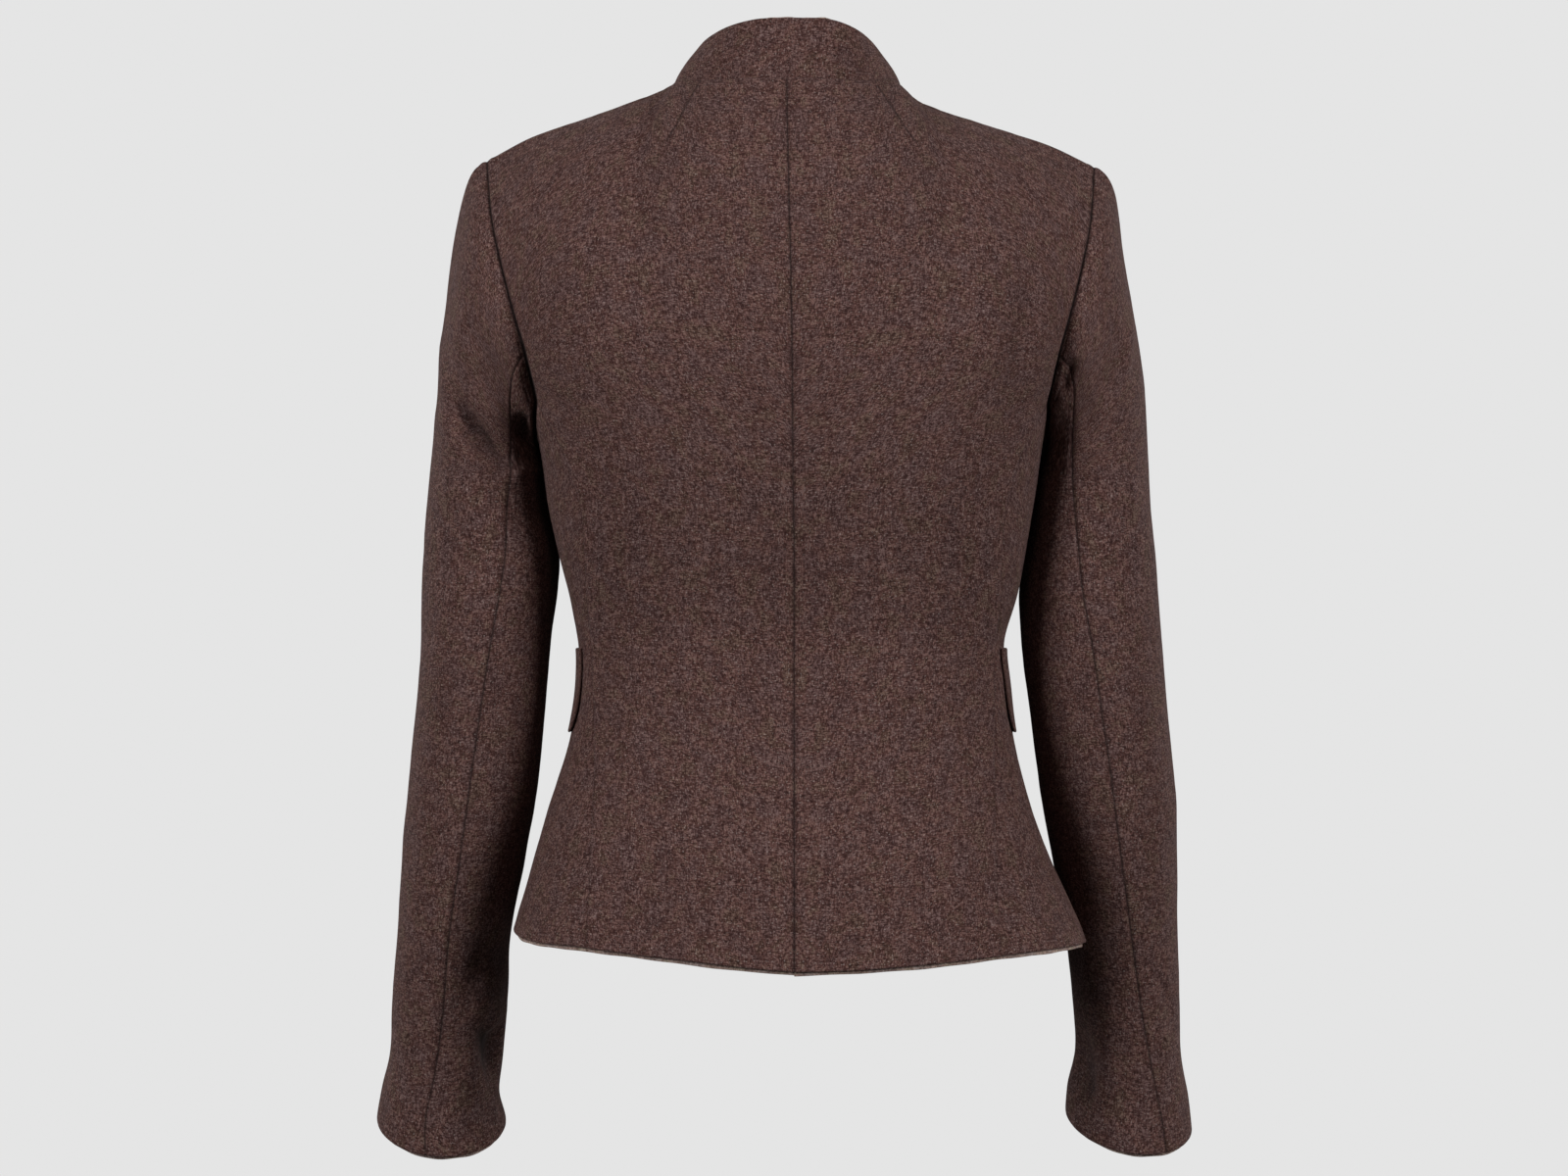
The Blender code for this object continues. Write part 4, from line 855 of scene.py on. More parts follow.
def sleeve_normals(side, part, columns, rows):
    """The normals of a sleeve part's grid. Both parts share one along their seams, and the
    armhole's mitre is at the top."""
    station, rise = np.meshgrid(columns, rows)
    found = normals(lambda u, v: sleeve(side, part, u, v), station, rise, -side, (-1, 3))
    other = "under" if part == "upper" else "upper"
    for column in (0, -1):
        at_front = np.mod(columns[column], 3.0) > 1.5
        seam = FRONT_SEAM_STATION - 3 * (other == "upper") if at_front else BACK_SEAM_STATION
        seams = np.full_like(rows, seam)
        beyond = normals(lambda u, v: sleeve(side, other, u, v), seams, rows, -side, (-1, 3))
        found[:, column] = unit(found[:, column] + beyond)
    found[0] = armhole_mitre(side, columns)[0]
    return found


def collar(station, height):
    """The collar, from its seam at height 0 to its upper edge at 1, bowed out a little. The
    station is negative on the wearer's right."""
    station, height = np.broadcast_arrays(np.asarray(station, float), np.asarray(height, float))
    at = np.abs(station)
    found = np.zeros(at.shape + (3,))
    for side in (LEFT, RIGHT):
        low = neckline(side, at)
        row = collar_table(at)
        high = points(sided(side, row, "_x"), row["y"], sided(side, row, "_z"))
        made = low + (high - low) * height[..., None]
        outwards = unit(made * [1, 1, 0])
        made = made + outwards * (COLLAR_ROLL * np.sin(np.pi * height))[..., None]
        mine = station >= 0 if side == LEFT else station < 0
        found = np.where(mine[..., None], made, found)
    return found


def spread(stops, length, spacing=GRID, close=(True, True)):
    """Values between the stops at an even spacing on a line of this length from the first stop
    to the last, with a few close to its ends."""
    scale = length / (stops[-1] - stops[0])
    found = []
    for low, high in zip(stops, stops[1:]):
        count = max(1, round((high - low) * scale / spacing))
        found.append(np.linspace(low, high, count + 1)[:-1])
    found = np.append(np.concatenate(found), stops[-1])
    near = np.array(BESIDE_EDGE) / scale
    clear = BESIDE_EDGE[-1] / scale * 1.25
    stay = np.ones(len(found), bool)
    extra = []
    if close[0]:
        stay &= (found <= stops[0] + NEAR) | (found > stops[0] + clear)
        extra.append(stops[0] + near)
    if close[1]:
        stay &= (found >= stops[-1] - NEAR) | (found < stops[-1] - clear)
        extra.append(stops[-1] - near)
    return np.sort(np.concatenate([found[stay]] + extra))


def run_lengths(grid, axis):
    """The distance from the first line of a grid along rows (axis 1) or columns (axis 0)."""
    apart = np.linalg.norm(np.diff(grid, axis=axis), axis=-1)
    shape = list(grid.shape[:2])
    shape[axis] = 1
    return np.concatenate([np.zeros(shape), np.cumsum(apart, axis=axis)], axis=axis)


def ripple(along, seed):
    """An uneven wave along a seam, between about -1 and 1."""
    lengths = (6.1, 9.7, 14.3, 23.0)
    return sum(np.sin(along * math.tau / w + seed * (k + 1.7)) for k, w in enumerate(lengths)) / 2.4


def unevenness(p):
    """Low swells and hollows that run on across all the pieces: sine waves in three slanting
    directions for each row of the table."""
    total = np.zeros(p.shape[:-1])
    for number, row in enumerate(UNEVEN_ROWS):
        wave = dict(zip(UNEVEN_COLUMNS, row))
        for turn in range(3):
            a = number * 1.9 + turn * 2.1
            way = np.array([math.cos(a), math.sin(a * 1.3), math.sin(a)])
            phase = (p * way).sum(-1) * math.tau / wave["wavelength"] + 2.3 * turn + number
            total = total + np.sin(phase + 0.8 * np.sin(phase * 0.37 + a)) * wave["height"] / 3
    return total


def creases(p, rows, y_from):
    """The creases at these points: soft ridges and troughs, widest in their middles. They fade
    out on the far side, from y_from on."""
    total = np.zeros(p.shape[:-1])
    for row in rows:
        crease = dict(zip(CREASE_COLUMNS, row))
        first = np.array([crease["x1"], crease["z1"]], float)
        way = np.array([crease["x2"], crease["z2"]], float) - first
        length = np.linalg.norm(way)
        way /= length
        rel = p[..., [0, 2]] - first
        along = (rel * way).sum(-1) / length
        across = (rel[..., 0] * way[1] - rel[..., 1] * way[0]) / crease["half_width"]
        fade = np.exp(-((np.abs(along - 0.5) / 0.46) ** 4))
        on_face = smoothstep((p[..., 1] * crease["face"] - y_from) / 30)
        total = total + crease["height"] * fade * on_face * np.exp(-across * across)
    return total


def dart_place(side, p):
    """A point's signed distance from the dart's line, and how far along the line it is."""
    (x1, z1), (x2, z2) = DARTS[side]
    length = math.hypot(x2 - x1, z2 - z1)
    way = ((x2 - x1) / length, (z2 - z1) / length)
    x, z = p[..., 0] - x1, p[..., 2] - z1
    return x * way[1] - z * way[0], (x * way[0] + z * way[1]) / length


def dart_hollow(side, p):
    """How deep the cloth lies beside the dart: deepest on its line, fading at both ends."""
    off, along = dart_place(side, p)
    fade = smoothstep(along * 8 + 1) * smoothstep((1.05 - along) * 2.5)
    return -DART_DEPTH * fade * np.exp(-np.abs(off) / DART_REACH)


def finish_wall(name, base, depth, seams, cloth, seed, shift=0.0, dart=None, roll=None):
    """A panel's wall from its plain surface. Seams says how plainly each of the four edges shows
    as a seam, 0 to 1, in the order first row, last row, first column, last column, or None for a
    free edge. Sewn edges turn in, pucker, show their allowance and get shade painted along them;
    free ones are rounded. The shift moves both faces out, and the roll moves the outer face beside
    the first row. Where the shift sinks the wall, shade is painted in for the depth."""
    rows, columns = run_lengths(base, 0), run_lengths(base, 1)
    distances = (rows, rows[-1:] - rows, columns, columns[:, -1:] - columns)
    along = (columns, columns, rows, rows)
    outer = np.zeros(base.shape[:2])
    rounding = np.zeros(base.shape[:2])
    seam = np.zeros(base.shape[:2])
    for number, (shown, far, way) in enumerate(zip(seams, distances, along)):
        if shown is None:
            inside = np.clip(1 - far / FREE_EDGE_RADIUS, 0, 1)
            drop = 1 - np.sqrt(1 - np.minimum(inside, 0.97) ** 2)
            rounding = np.maximum(rounding, drop * cloth * 0.44)
            continue
        shown = np.reshape(shown, (-1, 1) if number > 1 else (1, -1))
        outer -= SEAM_DROP * (0.3 + 0.7 * shown) * np.exp(-((far / SEAM_REACH) ** 1.5))
        shrink = np.exp(-far / PUCKER_REACH) * smoothstep(far / 2.5)
        outer += PUCKER * shown * ripple(way, seed + number) * shrink
        allowance = np.exp(-(((far - 3.2) / 1.7) ** 2)) - 0.8 * np.exp(-(((far - 6.6) / 1.2) ** 2))
        outer += ALLOWANCE * shown * (1 + 0.5 * ripple(way, seed + 5)) * allowance
        # Shade painted along the seam, strongest at it.
        seam = np.maximum(seam, shown * np.exp(-far / PAINTED_SEAM_SHADE_REACH))
    if roll is not None:
        outer += roll * np.exp(-((rows / ROLL_REACH) ** 2))
    normal = unit(depth)
    both = base + normal * np.broadcast_to(shift, base.shape[:2])[..., None]
    front = both + normal * (outer - rounding)[..., None]
    back = both - depth * cloth + normal * rounding[..., None]
    if dart is None:
        dart = (np.full(seam.shape, 9.0), np.zeros(seam.shape))
    # Troughs get painted shade, more the deeper they are.
    trough = np.clip(-np.broadcast_to(shift, seam.shape), 0, HOLLOW_DEEPEST)
    seam = np.maximum(seam, trough**2 * PAINTED_TROUGH_SHADE)
    return cloth_mesh(name, front, back, np.stack([seam, *dart], -1))


def cloth_mesh(name, front, back, painted_shade_marks):
    """A closed wall between two grids, with its cloth laid flat as the UV map, in centimetres.
    Its attribute on the points holds how much shade is painted near a seam or in a trough, from
    0 to 1, and the dart's place, along which shade is painted too."""
    rows, columns = front.shape[:2]
    count = rows * columns
    r, c = np.meshgrid(np.arange(rows - 1), np.arange(columns - 1), indexing="ij")
    a = (r * columns + c).ravel()
    quads = np.stack([a, a + 1, a + columns + 1, a + columns], -1)
    ring = np.concatenate([
        np.arange(columns),
        np.arange(1, rows) * columns + columns - 1,
        (rows - 1) * columns + np.arange(columns - 2, -1, -1),
        np.arange(rows - 2, 0, -1) * columns,
    ])
    after = np.roll(ring, -1)
    rim = np.stack([after, ring, ring + count, after + count], -1)
    faces = np.concatenate([quads, quads[:, ::-1] + count, rim])
    vertices = np.concatenate([front.reshape(-1, 3), back.reshape(-1, 3)])
    made = mesh_from(name + "_cloth", vertices, faces)
    middle = columns // 2
    v = run_lengths(front, 0)[:, middle : middle + 1] + 0 * front[..., 0]
    u = run_lengths(front, 1)
    u = u - u[:, middle : middle + 1]
    flat = np.stack([u, v], -1).reshape(-1, 2) / 10
    add_uv(made, np.concatenate([flat, flat + 7.3]))
    stored = made.data.attributes.new("painted_shade_marks", "FLOAT_VECTOR", "POINT")
    both = np.concatenate([painted_shade_marks.reshape(-1, 3)] * 2)
    stored.data.foreach_set("vector", both.astype(np.float32).ravel())
    return made


def mesh_from(name, vertices, faces):
    """A smooth mesh of quads, in metres, with its faces turned outwards."""
    corner = vertices[faces]
    across = np.cross(corner[:, 2] - corner[:, 0], corner[:, 3] - corner[:, 1])
    if (across * corner.mean(1)).sum() < 0:
        faces = faces[:, ::-1]
    mesh = bpy.data.meshes.new(name)
    mesh.from_pydata((vertices * MM).tolist(), [], faces.tolist())
    mesh.shade_smooth()
    mesh.set_sharp_from_angle(angle=math.radians(60))
    made = bpy.data.objects.new(name, mesh)
    bpy.context.scene.collection.objects.link(made)
    return made


def add_uv(made, flat):
    loops = np.zeros(len(made.data.loops), int)
    made.data.loops.foreach_get("vertex_index", loops)
    layer = made.data.uv_layers.new(name="cloth")
    layer.data.foreach_set("uv", flat[loops].astype(np.float32).ravel())


def side_word(side):
    return "left" if side == LEFT else "right"


def back_lines():
    """Grid lines across the back, with one at the neck point."""
    return spread((0.0, BACK_NECK_SHARE, 1.0), 165)


def front_lines():
    return spread((0.0, FRONT_NECK_SHARE, 1.0), 185)


def body_lines():
    """Grid lines up the body, with one at the underarm."""
    low = spread((0.0, 1.0), 347, close=(True, False))
    high = spread((1.0, 2.0), 235, close=(False, True))
    return np.concatenate([low, high[1:]])


def make_back(side):
    columns, rows = back_lines(), body_lines()
    across, rise = np.meshgrid(columns, rows)
    half = SEAM_GAP / 2
    base = inset(
        back_panel(side, across, rise),
        last_row=half * (columns > BACK_NECK_SHARE - NEAR),
        first_column=half,
        last_column=half * (rows < 1 + NEAR),
    )
    depth = sewn_normals(side, "back", columns, rows)
    shift = body_shift(base) + dart_hollow(side, base)
    off, along = dart_place(side, base)
    seams = (None, upper_seams(columns, BACK_NECK_SHARE), PLAIN, np.where(rows < 1 + NEAR, FAINT, DEEP))
    name = "back_" + side_word(side)
    return finish_wall(name, base, depth, seams, CLOTH, 1.3 * side, shift, (off, along))


def upper_seams(columns, neck_share):
    """How plainly the collar's seam and the shoulder seam show along a panel's upper edge."""
    return np.where(columns < neck_share + NEAR, HIDDEN, PLAIN)


def body_shift(p):
    """The body's creases and unevenness."""
    return creases(p, BODY_CREASE_ROWS, -5) + unevenness(p)


def make_front(side):
    columns, rows = front_lines(), body_lines()
    across, rise = np.meshgrid(columns, rows)
    half = SEAM_GAP / 2
    base = inset(
        front_panel(side, across, rise),
        last_row=half * (columns > FRONT_NECK_SHARE - NEAR),
        last_column=half * (rows < 1 + NEAR),
    )
    depth = sewn_normals(side, "front", columns, rows)
    seams = (None, upper_seams(columns, FRONT_NECK_SHARE), None, np.where(rows < 1 + NEAR, SOFT, DEEP))
    return finish_wall("front_" + side_word(side), base, depth, seams, CLOTH, 2.1 * side, body_shift(base))


def make_side(side):
    columns = spread((0.0, 1.0), 80)
    rows = spread((0.0, 1.0), 330)
    across, rise = np.meshgrid(columns, rows)
    half = SEAM_GAP / 2
    base = inset(side_panel(side, across, rise), first_column=half, last_column=half)
    depth = side_normals(side, across, rise)
    depth[-1] = armhole_mitre(side, 1 + columns)[0]
    seams = (None, DEEP, FAINT, SOFT)
    return finish_wall("side_" + side_word(side), base, depth, seams, CLOTH, 3.7 * side, body_shift(base))


def sleeve_lines(part):
    """Grid lines round the sleeve. Those of the cap come from the same stations as the body's."""
    if part == "upper":
        front = spread((FRONT_SEAM_STATION - 3.0, 0.0), 165, close=(True, False))
        return np.concatenate([front, spread((0.0, BACK_SEAM_STATION), 165, close=(False, True))[1:]])
    return spread((BACK_SEAM_STATION, 1.0, 2.0, FRONT_SEAM_STATION), 125)


def make_sleeve_part(side, part):
    columns = sleeve_lines(part)
    rows = np.concatenate([
        spread((0.0, 1.0), 190, close=(True, False)),
        spread((1.0, 2.0), 418, close=(False, True))[1:],
    ])
    half = SEAM_GAP / 2
    base = inset(sleeve(side, part, *np.meshgrid(columns, rows)), first_column=half, last_column=half)
    depth = sleeve_normals(side, part, columns, rows)
    name = f"sleeve_{part}_{side_word(side)}"
    away = smoothstep(run_lengths(base, 0) / 14)
    rolls = dict(zip(ROLL_COLUMNS, np.array(ROLL_ROWS).T))
    roll = np.interp(np.mod(columns, 3.0), rolls["station"], rolls["fall"])
    shift = (creases(base, SLEEVE_CREASE_ROWS, -60) + unevenness(base)) * away
    return finish_wall(name, base, depth, (DEEP, None, PLAIN, PLAIN), CLOTH, 4.9 * side, shift, roll=roll)


def make_collar():
    stations = spread((0.0, NECK_POINT, COLLAR_END), 175, close=(False, True))
    columns = np.concatenate([-stations[:0:-1], stations])
    station, height = np.meshgrid(columns, spread((0.0, 1.0), 36, spacing=3.0))
    base = collar(station, height)
    depth = normals(collar, station, height, -1, (-LAP_EDGE, LAP_EDGE), (0, 1))
    for side in (LEFT, RIGHT):
        mine = columns > -NEAR if side == LEFT else columns < -NEAR
        through_cloth, across_seam = neck_mitre(side, np.abs(columns[mine]))
        base[0, mine] += across_seam * SET_IN_GAP
        depth[0, mine] = through_cloth
    shift = 0.4 * unevenness(base)
    return finish_wall("collar", base, depth, (HIDDEN, None, None, None), COLLAR_CLOTH, 5.3, shift)


def make_hem_edge(side):
    """The strip of edge cloth inside the hem, from the front edge to centre back."""
    edge = front_edge_turn(side, HEM_Z)
    last = float(edge - 1.2 if side == LEFT else 180 - turn_at(side, LAP + 5, HEM_Z))
    turns = spread((0.0, last), 480, close=(True, True))
    turn, up = np.meshgrid(turns, np.array(EDGE_LINES))

    def skin(u, v):
        return sunk(side, body(side, u, v))

    wavy = 0.25 * np.sin(turn * 0.21 + side) + 0.15 * np.sin(turn * 0.53 + 2 * side)
    z = hem_height(side, turn) + up + wavy * (up < 0)
    depth = normals(skin, turn, z, -side, (0, 200), (-600, 0))
    base = skin(turn, z) - depth * (CLOTH + EDGE_GAP)
    name = "hem_edge_" + side_word(side)
    return finish_wall(name, base, depth, (None,) * 4, EDGE_CLOTH, 6.1 * side, body_shift(base))


def make_cuff_edge(side):
    """The ring of edge cloth inside the cuff, cut along its under side."""
    angle, up = np.meshgrid(np.linspace(-110, 249.2, 92), np.array(EDGE_LINES))
    wavy = 0.2 * np.sin(np.radians(angle) * 7 + side) + 0.15 * np.sin(np.radians(angle) * 13 + 2 * side)
    z = CUFF_Z + up + wavy * (up < 0)
    depth = normals(lambda u, v: sleeve_ring(side, u, v), angle, z, side, (-400, 400), (-690, 0))
    base = sleeve_ring(side, angle, z) - depth * (CLOTH + EDGE_GAP)
    name = "cuff_edge_" + side_word(side)
    shift = unevenness(base) + creases(base, SLEEVE_CREASE_ROWS, -60)
    return finish_wall(name, base, depth, (None,) * 4, EDGE_CLOTH, 7.7 * side, shift)


def make_collar_edge():
    """The strip of edge cloth inside the collar's upper edge."""
    stations = spread((0.0, COLLAR_END), 175, close=(False, True))
    columns = np.concatenate([-stations[:0:-1], stations])
    station, up = np.meshgrid(columns, -np.array(EDGE_LINES)[::-1])
    up = up + (0.3 * np.sin(station * 17) + 0.2 * np.sin(station * 41)) * (up > 0)
    rise = np.linalg.norm(collar(station, 1.0) - collar(station, 0.0), axis=-1)
    height = 1 + up / rise
    depth = normals(collar, station, height, -1, (-LAP_EDGE, LAP_EDGE), (0, 2))
    base = collar(station, height) - depth * (COLLAR_CLOTH + 1.2 * EDGE_GAP)
    base = inset(base, first_column=EDGE_GAP, last_column=EDGE_GAP)
    return finish_wall("collar_edge", base, depth, (None,) * 4, EDGE_CLOTH, 8.3)


def make_flap(side):
    """A pocket flap that lies on the hip, its lower corners rounded."""
    from_top = spread((0.0, 1.0), FLAP["depth"], spacing=2.6)[::-1]
    along, down = np.meshgrid(spread((-1.0, 1.0), 135, spacing=2.6), from_top)
    middle = (FLAP["back_turn"] + FLAP["front_turn"]) / 2
    turn = middle + along * (FLAP["front_turn"] - FLAP["back_turn"]) / 2
    z = FLAP["top_z"] - down * FLAP["depth"] * (1 - FLAP_CORNER * np.abs(along) ** 12)
    skin = body(side, turn, z)
    depth = normals(lambda u, v: body(side, u, v), turn, z, -side, (0, 200), (HEM_Z, UNDERARM_Z))
    lift = FLAP_LIFT + FLAP["cloth"] + 0.8 * down**2 * np.abs(along) ** 3
    base = skin + depth * lift[..., None]
    shift = creases(base, BODY_CREASE_ROWS, -5) + 0.5 * unevenness(base)
    name = "pocket_flap_" + side_word(side)
    return finish_wall(name, base, depth, (None,) * 4, FLAP["cloth"], 9.1 * side, shift)


def link(tree, start, end):
    tree.links.new(start, end)


def add(tree, kind, settings=(), **values):
    """A node with its settings and with values or links put into its inputs, by their names or,
    as _0, _1 and so on, by their numbers."""
    node = tree.nodes.new(kind)
    for key, value in dict(settings).items():
        setattr(node, key, value)
    for key, value in values.items():
        numbered = key[0] == "_"
        socket = node.inputs[int(key[1:]) if numbered else key.replace("_", " ")]
        if isinstance(value, bpy.types.NodeSocket):
            tree.links.new(value, socket)
        else:
            socket.default_value = value
    return node


def maths(tree, operation, first, second=0.0, third=0.0, clamp=False):
    node = add(tree, "ShaderNodeMath", {"operation": operation, "use_clamp": clamp}, _0=first, _1=second)
    if operation in ("MULTIPLY_ADD", "SMOOTH_MIN", "COMPARE"):
        node.inputs[2].default_value = third
    return node.outputs[0]


def noise(tree, place, scale, stretch=(1, 1, 1), detail=2.0, roughness=0.55):
    """Noise whose grain is one unit of place divided by scale and stretch."""
    sized = add(tree, "ShaderNodeVectorMath", {"operation": "MULTIPLY"}, _0=place, _1=stretch)
    made = add(
        tree,
        "ShaderNodeTexNoise",
        {"noise_dimensions": "3D"},
        Vector=sized.outputs[0],
        Scale=scale,
        Detail=detail,
        Roughness=roughness,
    )
    return made.outputs["Fac"]


def threads(tree, place, stretch):
    """A random value for each short piece of thread, longer one way than the other."""
    sized = add(tree, "ShaderNodeVectorMath", {"operation": "MULTIPLY"}, _0=place, _1=stretch)
    flat = {"voronoi_dimensions": "2D"}
    cells = add(tree, "ShaderNodeTexVoronoi", flat, Vector=sized.outputs[0], Scale=1.0)
    parts = add(tree, "ShaderNodeSeparateColor", {}, Color=cells.outputs["Color"])
    return parts.outputs[0]


def ramp(tree, value, stops, interpolation="LINEAR"):
    node = add(tree, "ShaderNodeValToRGB", {}, Fac=value)
    node.color_ramp.interpolation = interpolation
    elements = node.color_ramp.elements
    while len(elements) < len(stops):
        elements.new(0.5)
    for element, (place, colour) in zip(elements, stops):
        element.position = place
        element.color = (*colour, 1) if len(colour) == 3 else colour
    return node.outputs["Color"]


def melange_group():
    """Wool spun from dark brown, red brown and light taupe fibres and woven, then felted: fine
    threads up and across, grains where they cross, slow changes of hue, and a few loose pale
    fibres. Cloth is the place on the flat cloth in centimetres."""
    group = bpy.data.node_groups.new("melange", "ShaderNodeTree")
    sockets = group.interface
    sockets.new_socket("Cloth", in_out="INPUT", socket_type="NodeSocketVector")
    sockets.new_socket("Dark", in_out="INPUT", socket_type="NodeSocketColor")
    sockets.new_socket("Middle", in_out="INPUT", socket_type="NodeSocketColor")
    sockets.new_socket("Light", in_out="INPUT", socket_type="NodeSocketColor")
    sockets.new_socket("Pale fibres", in_out="INPUT", socket_type="NodeSocketFloat")
    sockets.new_socket("Colour", in_out="OUTPUT", socket_type="NodeSocketColor")
    sockets.new_socket("Height", in_out="OUTPUT", socket_type="NodeSocketFloat")
    start = group.nodes.new("NodeGroupInput")
    end = group.nodes.new("NodeGroupOutput")
    cloth = start.outputs["Cloth"]
    warp = threads(group, cloth, (15, 5.5, 1))
    weft = threads(group, cloth, (5.5, 15, 1))
    grain = noise(group, cloth, 12.0, (1, 0.85, 1), 3.0, 0.8)
    clumps = noise(group, cloth, 2.1, (1, 0.8, 1), 3.0, 0.7)
    woven = maths(group, "ADD", maths(group, "MULTIPLY", warp, 0.12), maths(group, "MULTIPLY", weft, 0.12))
    woven = maths(group, "ADD", woven, maths(group, "MULTIPLY", grain, 0.36))
    woven = maths(group, "ADD", woven, maths(group, "MULTIPLY", clumps, 0.05))
    spread_out = maths(group, "MULTIPLY_ADD", woven, 4.9, -1.1)
    lower = maths(group, "MULTIPLY", spread_out, 2.0, clamp=True)
    shade = add(group, "ShaderNodeMix", {"data_type": "RGBA"}, Factor=lower)
    link(group, start.outputs["Dark"], shade.inputs[6])
    link(group, start.outputs["Middle"], shade.inputs[7])
    upper = maths(group, "MULTIPLY_ADD", spread_out, 2.0, -1.0, clamp=True)
    lit = add(group, "ShaderNodeMix", {"data_type": "RGBA"}, Factor=upper)
    link(group, shade.outputs[2], lit.inputs[6])
    link(group, start.outputs["Light"], lit.inputs[7])
    hue = noise(group, cloth, 0.7, (1, 0.8, 1), 4.0, 0.65)
    purple, rust, olive = (0.97, 0.97, 1.04), (1.08, 0.97, 0.96), (1.0, 1.04, 0.93)
    hues = ramp(group, hue, ((0.38, purple), (0.47, (1.0, 0.98, 1.0)), (0.53, rust), (0.61, olive)))
    tinted = add(group, "ShaderNodeMix", {"data_type": "RGBA", "blend_type": "MULTIPLY"}, Factor=1.0)
    link(group, lit.outputs[2], tinted.inputs[6])
    link(group, hues, tinted.inputs[7])
    curl = noise(group, cloth, 1.7, detail=0.0)
    off_line = maths(group, "ABSOLUTE", maths(group, "SUBTRACT", curl, 0.5))
    thin = maths(group, "MULTIPLY_ADD", off_line, -170.0, 1.0, clamp=True)
    where = noise(group, cloth, 1.3, (1, 1.3, 1), 1.0)
    sparse = maths(group, "MULTIPLY_ADD", where, 18.0, -12.9, clamp=True)
    fleck = noise(group, cloth, 8.0, detail=0.0)
    flecks = maths(group, "MULTIPLY_ADD", fleck, 9.0, -6.1, clamp=True)
    flecks = maths(group, "MULTIPLY", flecks, 0.45)
    pale = maths(group, "MAXIMUM", maths(group, "MULTIPLY", thin, sparse), flecks)
    pale = maths(group, "MULTIPLY", pale, start.outputs["Pale fibres"])
    colour = add(group, "ShaderNodeMix", {"data_type": "RGBA"}, Factor=pale)
    link(group, tinted.outputs[2], colour.inputs[6])
    colour.inputs[7].default_value = LOOSE_FIBRE
    link(group, colour.outputs[2], end.inputs["Colour"])
    link(group, maths(group, "ADD", woven, maths(group, "MULTIPLY", pale, 0.12)), end.inputs["Height"])
    return group


def wool(name, group, threads_used, pale, bump=0.3):
    """Felted wool: the melange over the piece's own flat cloth, with shade painted in seams, along
    darts and in troughs, and soft sheen."""
    made = bpy.data.materials.new(name)
    made.use_nodes = True
    tree = made.node_tree
    shader = tree.nodes["Principled BSDF"]
    place = add(tree, "ShaderNodeUVMap", {"uv_map": "cloth"}).outputs[0]
    cloth = tree.nodes.new("ShaderNodeGroup")
    cloth.node_tree = group
    link(tree, place, cloth.inputs["Cloth"])
    for socket, colour in zip(("Dark", "Middle", "Light"), threads_used):
        cloth.inputs[socket].default_value = (*colour, 1)
    cloth.inputs["Pale fibres"].default_value = pale
    colour, height = cloth.outputs["Colour"], cloth.outputs["Height"]
    # Painted shade: near-black mixed into the colour at seams, along darts and in troughs.
    painted_shade_marks = add(tree, "ShaderNodeAttribute", {"attribute_name": "painted_shade_marks"})
    parts = add(tree, "ShaderNodeSeparateXYZ", {}, Vector=painted_shade_marks.outputs["Vector"])
    # The dart's line: shade painted along it, and a groove in the bump.
    off = maths(tree, "ABSOLUTE", parts.outputs[1])
    line = maths(tree, "MULTIPLY_ADD", off, -1.3, 1.3, clamp=True)
    from_middle = maths(tree, "ABSOLUTE", maths(tree, "SUBTRACT", parts.outputs[2], 0.47))
    inside = maths(tree, "MULTIPLY_ADD", from_middle, -9.0, 5.2, clamp=True)
    line = maths(tree, "MULTIPLY", line, inside)
    painted_dart_shade = maths(tree, "MULTIPLY", line, 0.6)
    painted_seam_and_trough_shade = maths(tree, "MULTIPLY", parts.outputs[0], 1.2)
    # The stronger painted shade, at most 0.92, mixes in the near-black.
    sewn = maths(tree, "MAXIMUM", painted_dart_shade, painted_seam_and_trough_shade)
    sewn = maths(tree, "MINIMUM", sewn, 0.92)
    painted_shade_mix = add(tree, "ShaderNodeMix", {"data_type": "RGBA"}, Factor=sewn)
    link(tree, colour, painted_shade_mix.inputs[6])
    painted_shade_mix.inputs[7].default_value = PAINTED_SHADE_COLOUR
    colour = painted_shade_mix.outputs[2]
    height = maths(tree, "SUBTRACT", height, line)
    link(tree, colour, shader.inputs["Base Color"])
    bumped = add(tree, "ShaderNodeBump", {}, Strength=bump, Distance=0.0006, Height=height)
    link(tree, bumped.outputs[0], shader.inputs["Normal"])
    shader.inputs["Roughness"].default_value = 0.95
    shader.inputs["Specular IOR Level"].default_value = 0.15
    shader.inputs["Sheen Weight"].default_value = 0.05
    shader.inputs["Sheen Roughness"].default_value = 0.55
    shader.inputs["Sheen Tint"].default_value = (0.75, 0.62, 0.58, 1)
    return made


def horn():
    """Dark horn: streaks of lighter brown, satin."""
    made = bpy.data.materials.new("horn_button")
    made.use_nodes = True
    tree = made.node_tree
    shader = tree.nodes["Principled BSDF"]
    place = add(tree, "ShaderNodeTexCoord").outputs["Object"]
    streaks = noise(tree, place, 90.0, (1, 1, 5), 4.0)
    colour = ramp(tree, streaks, HORN_STREAKS)
    link(tree, colour, shader.inputs["Base Color"])
    shader.inputs["Roughness"].default_value = 0.32
    return made


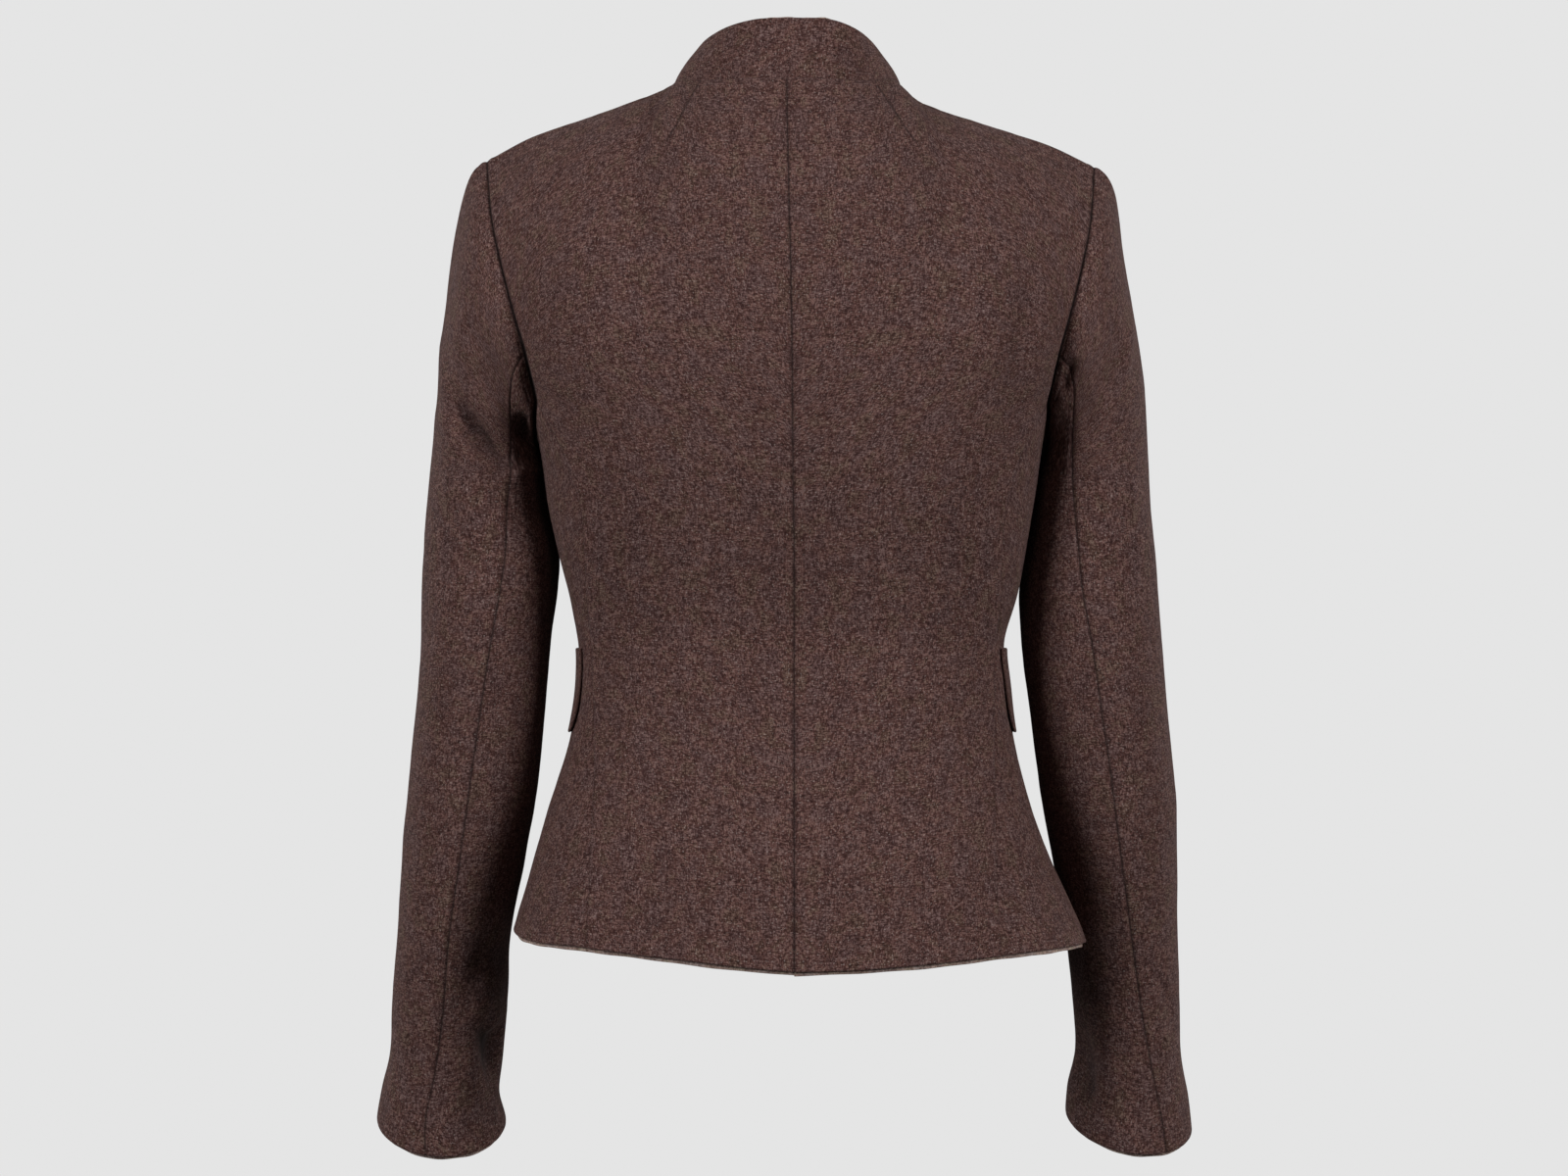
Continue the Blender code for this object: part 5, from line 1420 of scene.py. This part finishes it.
def studio_finish():
    """Pale and even where it is seen, and dim as a source of light, as black screens behind the
    camera would leave it."""
    made = bpy.data.materials.new("studio")
    made.use_nodes = True
    tree = made.node_tree
    tree.nodes.remove(tree.nodes["Principled BSDF"])
    seen = add(tree, "ShaderNodeEmission", {}, Color=(0.783, 0.783, 0.783, 1), Strength=1.0)
    dim = add(tree, "ShaderNodeBsdfDiffuse", {}, Color=(0.12, 0.12, 0.12, 1))
    ray = add(tree, "ShaderNodeLightPath")
    both = tree.nodes.new("ShaderNodeMixShader")
    link(tree, ray.outputs["Is Camera Ray"], both.inputs[0])
    link(tree, dim.outputs[0], both.inputs[1])
    link(tree, seen.outputs[0], both.inputs[2])
    link(tree, both.outputs[0], tree.nodes["Material Output"].inputs["Surface"])
    return made


def make_studio():
    """A pale floor that curves up into a backdrop all round the object."""
    at = np.linspace(0, len(FLOOR_ROWS) - 1, 40)
    line = dict(zip(FLOOR_COLUMNS, through(np.arange(len(FLOOR_ROWS)), FLOOR_ROWS, at).T))
    turn, k = np.meshgrid(np.linspace(0, math.tau, 97)[:-1], np.arange(len(at)))
    out, up = np.maximum(line["out"], 0)[k], line["up"][k]
    rings = points(out * np.cos(turn), out * np.sin(turn), FLOOR_Z + up) / MM
    rows, columns = rings.shape[:2]
    r, c = np.meshgrid(np.arange(rows - 1), np.arange(columns), indexing="ij")
    a, b = (r * columns + c).ravel(), (r * columns + (c + 1) % columns).ravel()
    floor = mesh_from("floor", rings.reshape(-1, 3), np.stack([a, a + columns, b + columns, b], -1))
    floor.data.materials.append(studio_finish())


def make_lights():
    """Soft lights from both sides behind and before the jacket, and a faint one from above."""
    for row in LIGHT_ROWS:
        light = dict(zip(LIGHT_COLUMNS, row))
        lamp = bpy.data.lights.new(light["name"], "AREA")
        lamp.shape = "RECTANGLE"
        lamp.size, lamp.size_y = light["size"]
        lamp.energy = light["watts"]
        lamp.color = light["colour"]
        made = bpy.data.objects.new(light["name"], lamp)
        made.location = light["place"]
        towards = Vector(light["place"]) - Vector(LIGHT_AIM)
        made.rotation_euler = towards.to_track_quat("Z", "Y").to_euler()
        bpy.context.scene.collection.objects.link(made)
    world = bpy.data.worlds.new("studio")
    bpy.context.scene.world = world
    world.use_nodes = True
    world.node_tree.nodes["Background"].inputs["Color"].default_value = (1, 1, 1, 1)
    world.node_tree.nodes["Background"].inputs["Strength"].default_value = 0.03


def make_camera():
    """A level camera straight behind the jacket."""
    camera = bpy.data.cameras.new("camera")
    camera.lens = CAMERA["lens"]
    camera.sensor_width = CAMERA["sensor"]
    made = bpy.data.objects.new("camera", camera)
    made.location = Vector(CAMERA["aim"]) + Vector((0, CAMERA["distance"], 0))
    made.rotation_euler = Vector((0, 1, 0)).to_track_quat("Z", "Y").to_euler()
    bpy.context.scene.collection.objects.link(made)
    bpy.context.scene.camera = made


def main():
    group = melange_group()
    brown = wool("brown_melange", group, BROWN_THREADS, pale=1.0)
    taupe = wool("taupe_melange", group, TAUPE_THREADS, pale=0.6)
    made = []
    for side in (LEFT, RIGHT):
        made += [make_back(side), make_front(side), make_side(side)]
        made += [make_sleeve_part(side, "upper"), make_sleeve_part(side, "under"), make_flap(side)]
        made += [make_hem_edge(side), make_cuff_edge(side)]
    made += [make_collar(), make_collar_edge()]
    for piece in made:
        node = piece.name.removesuffix("_cloth")
        is_edge = "_edge" in node
        piece.data.materials.append(taupe if is_edge else brown)
        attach(piece, "root")
        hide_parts(node)
    button = horn()
    for name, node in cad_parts.items():
        if name.startswith("button_"):
            node.data.materials.clear()
            node.data.materials.append(button)
    make_studio()
    make_lights()
    make_camera()
    bpy.context.scene.view_settings.view_transform = "Standard"
    bpy.context.scene.view_settings.look = "None"


main()
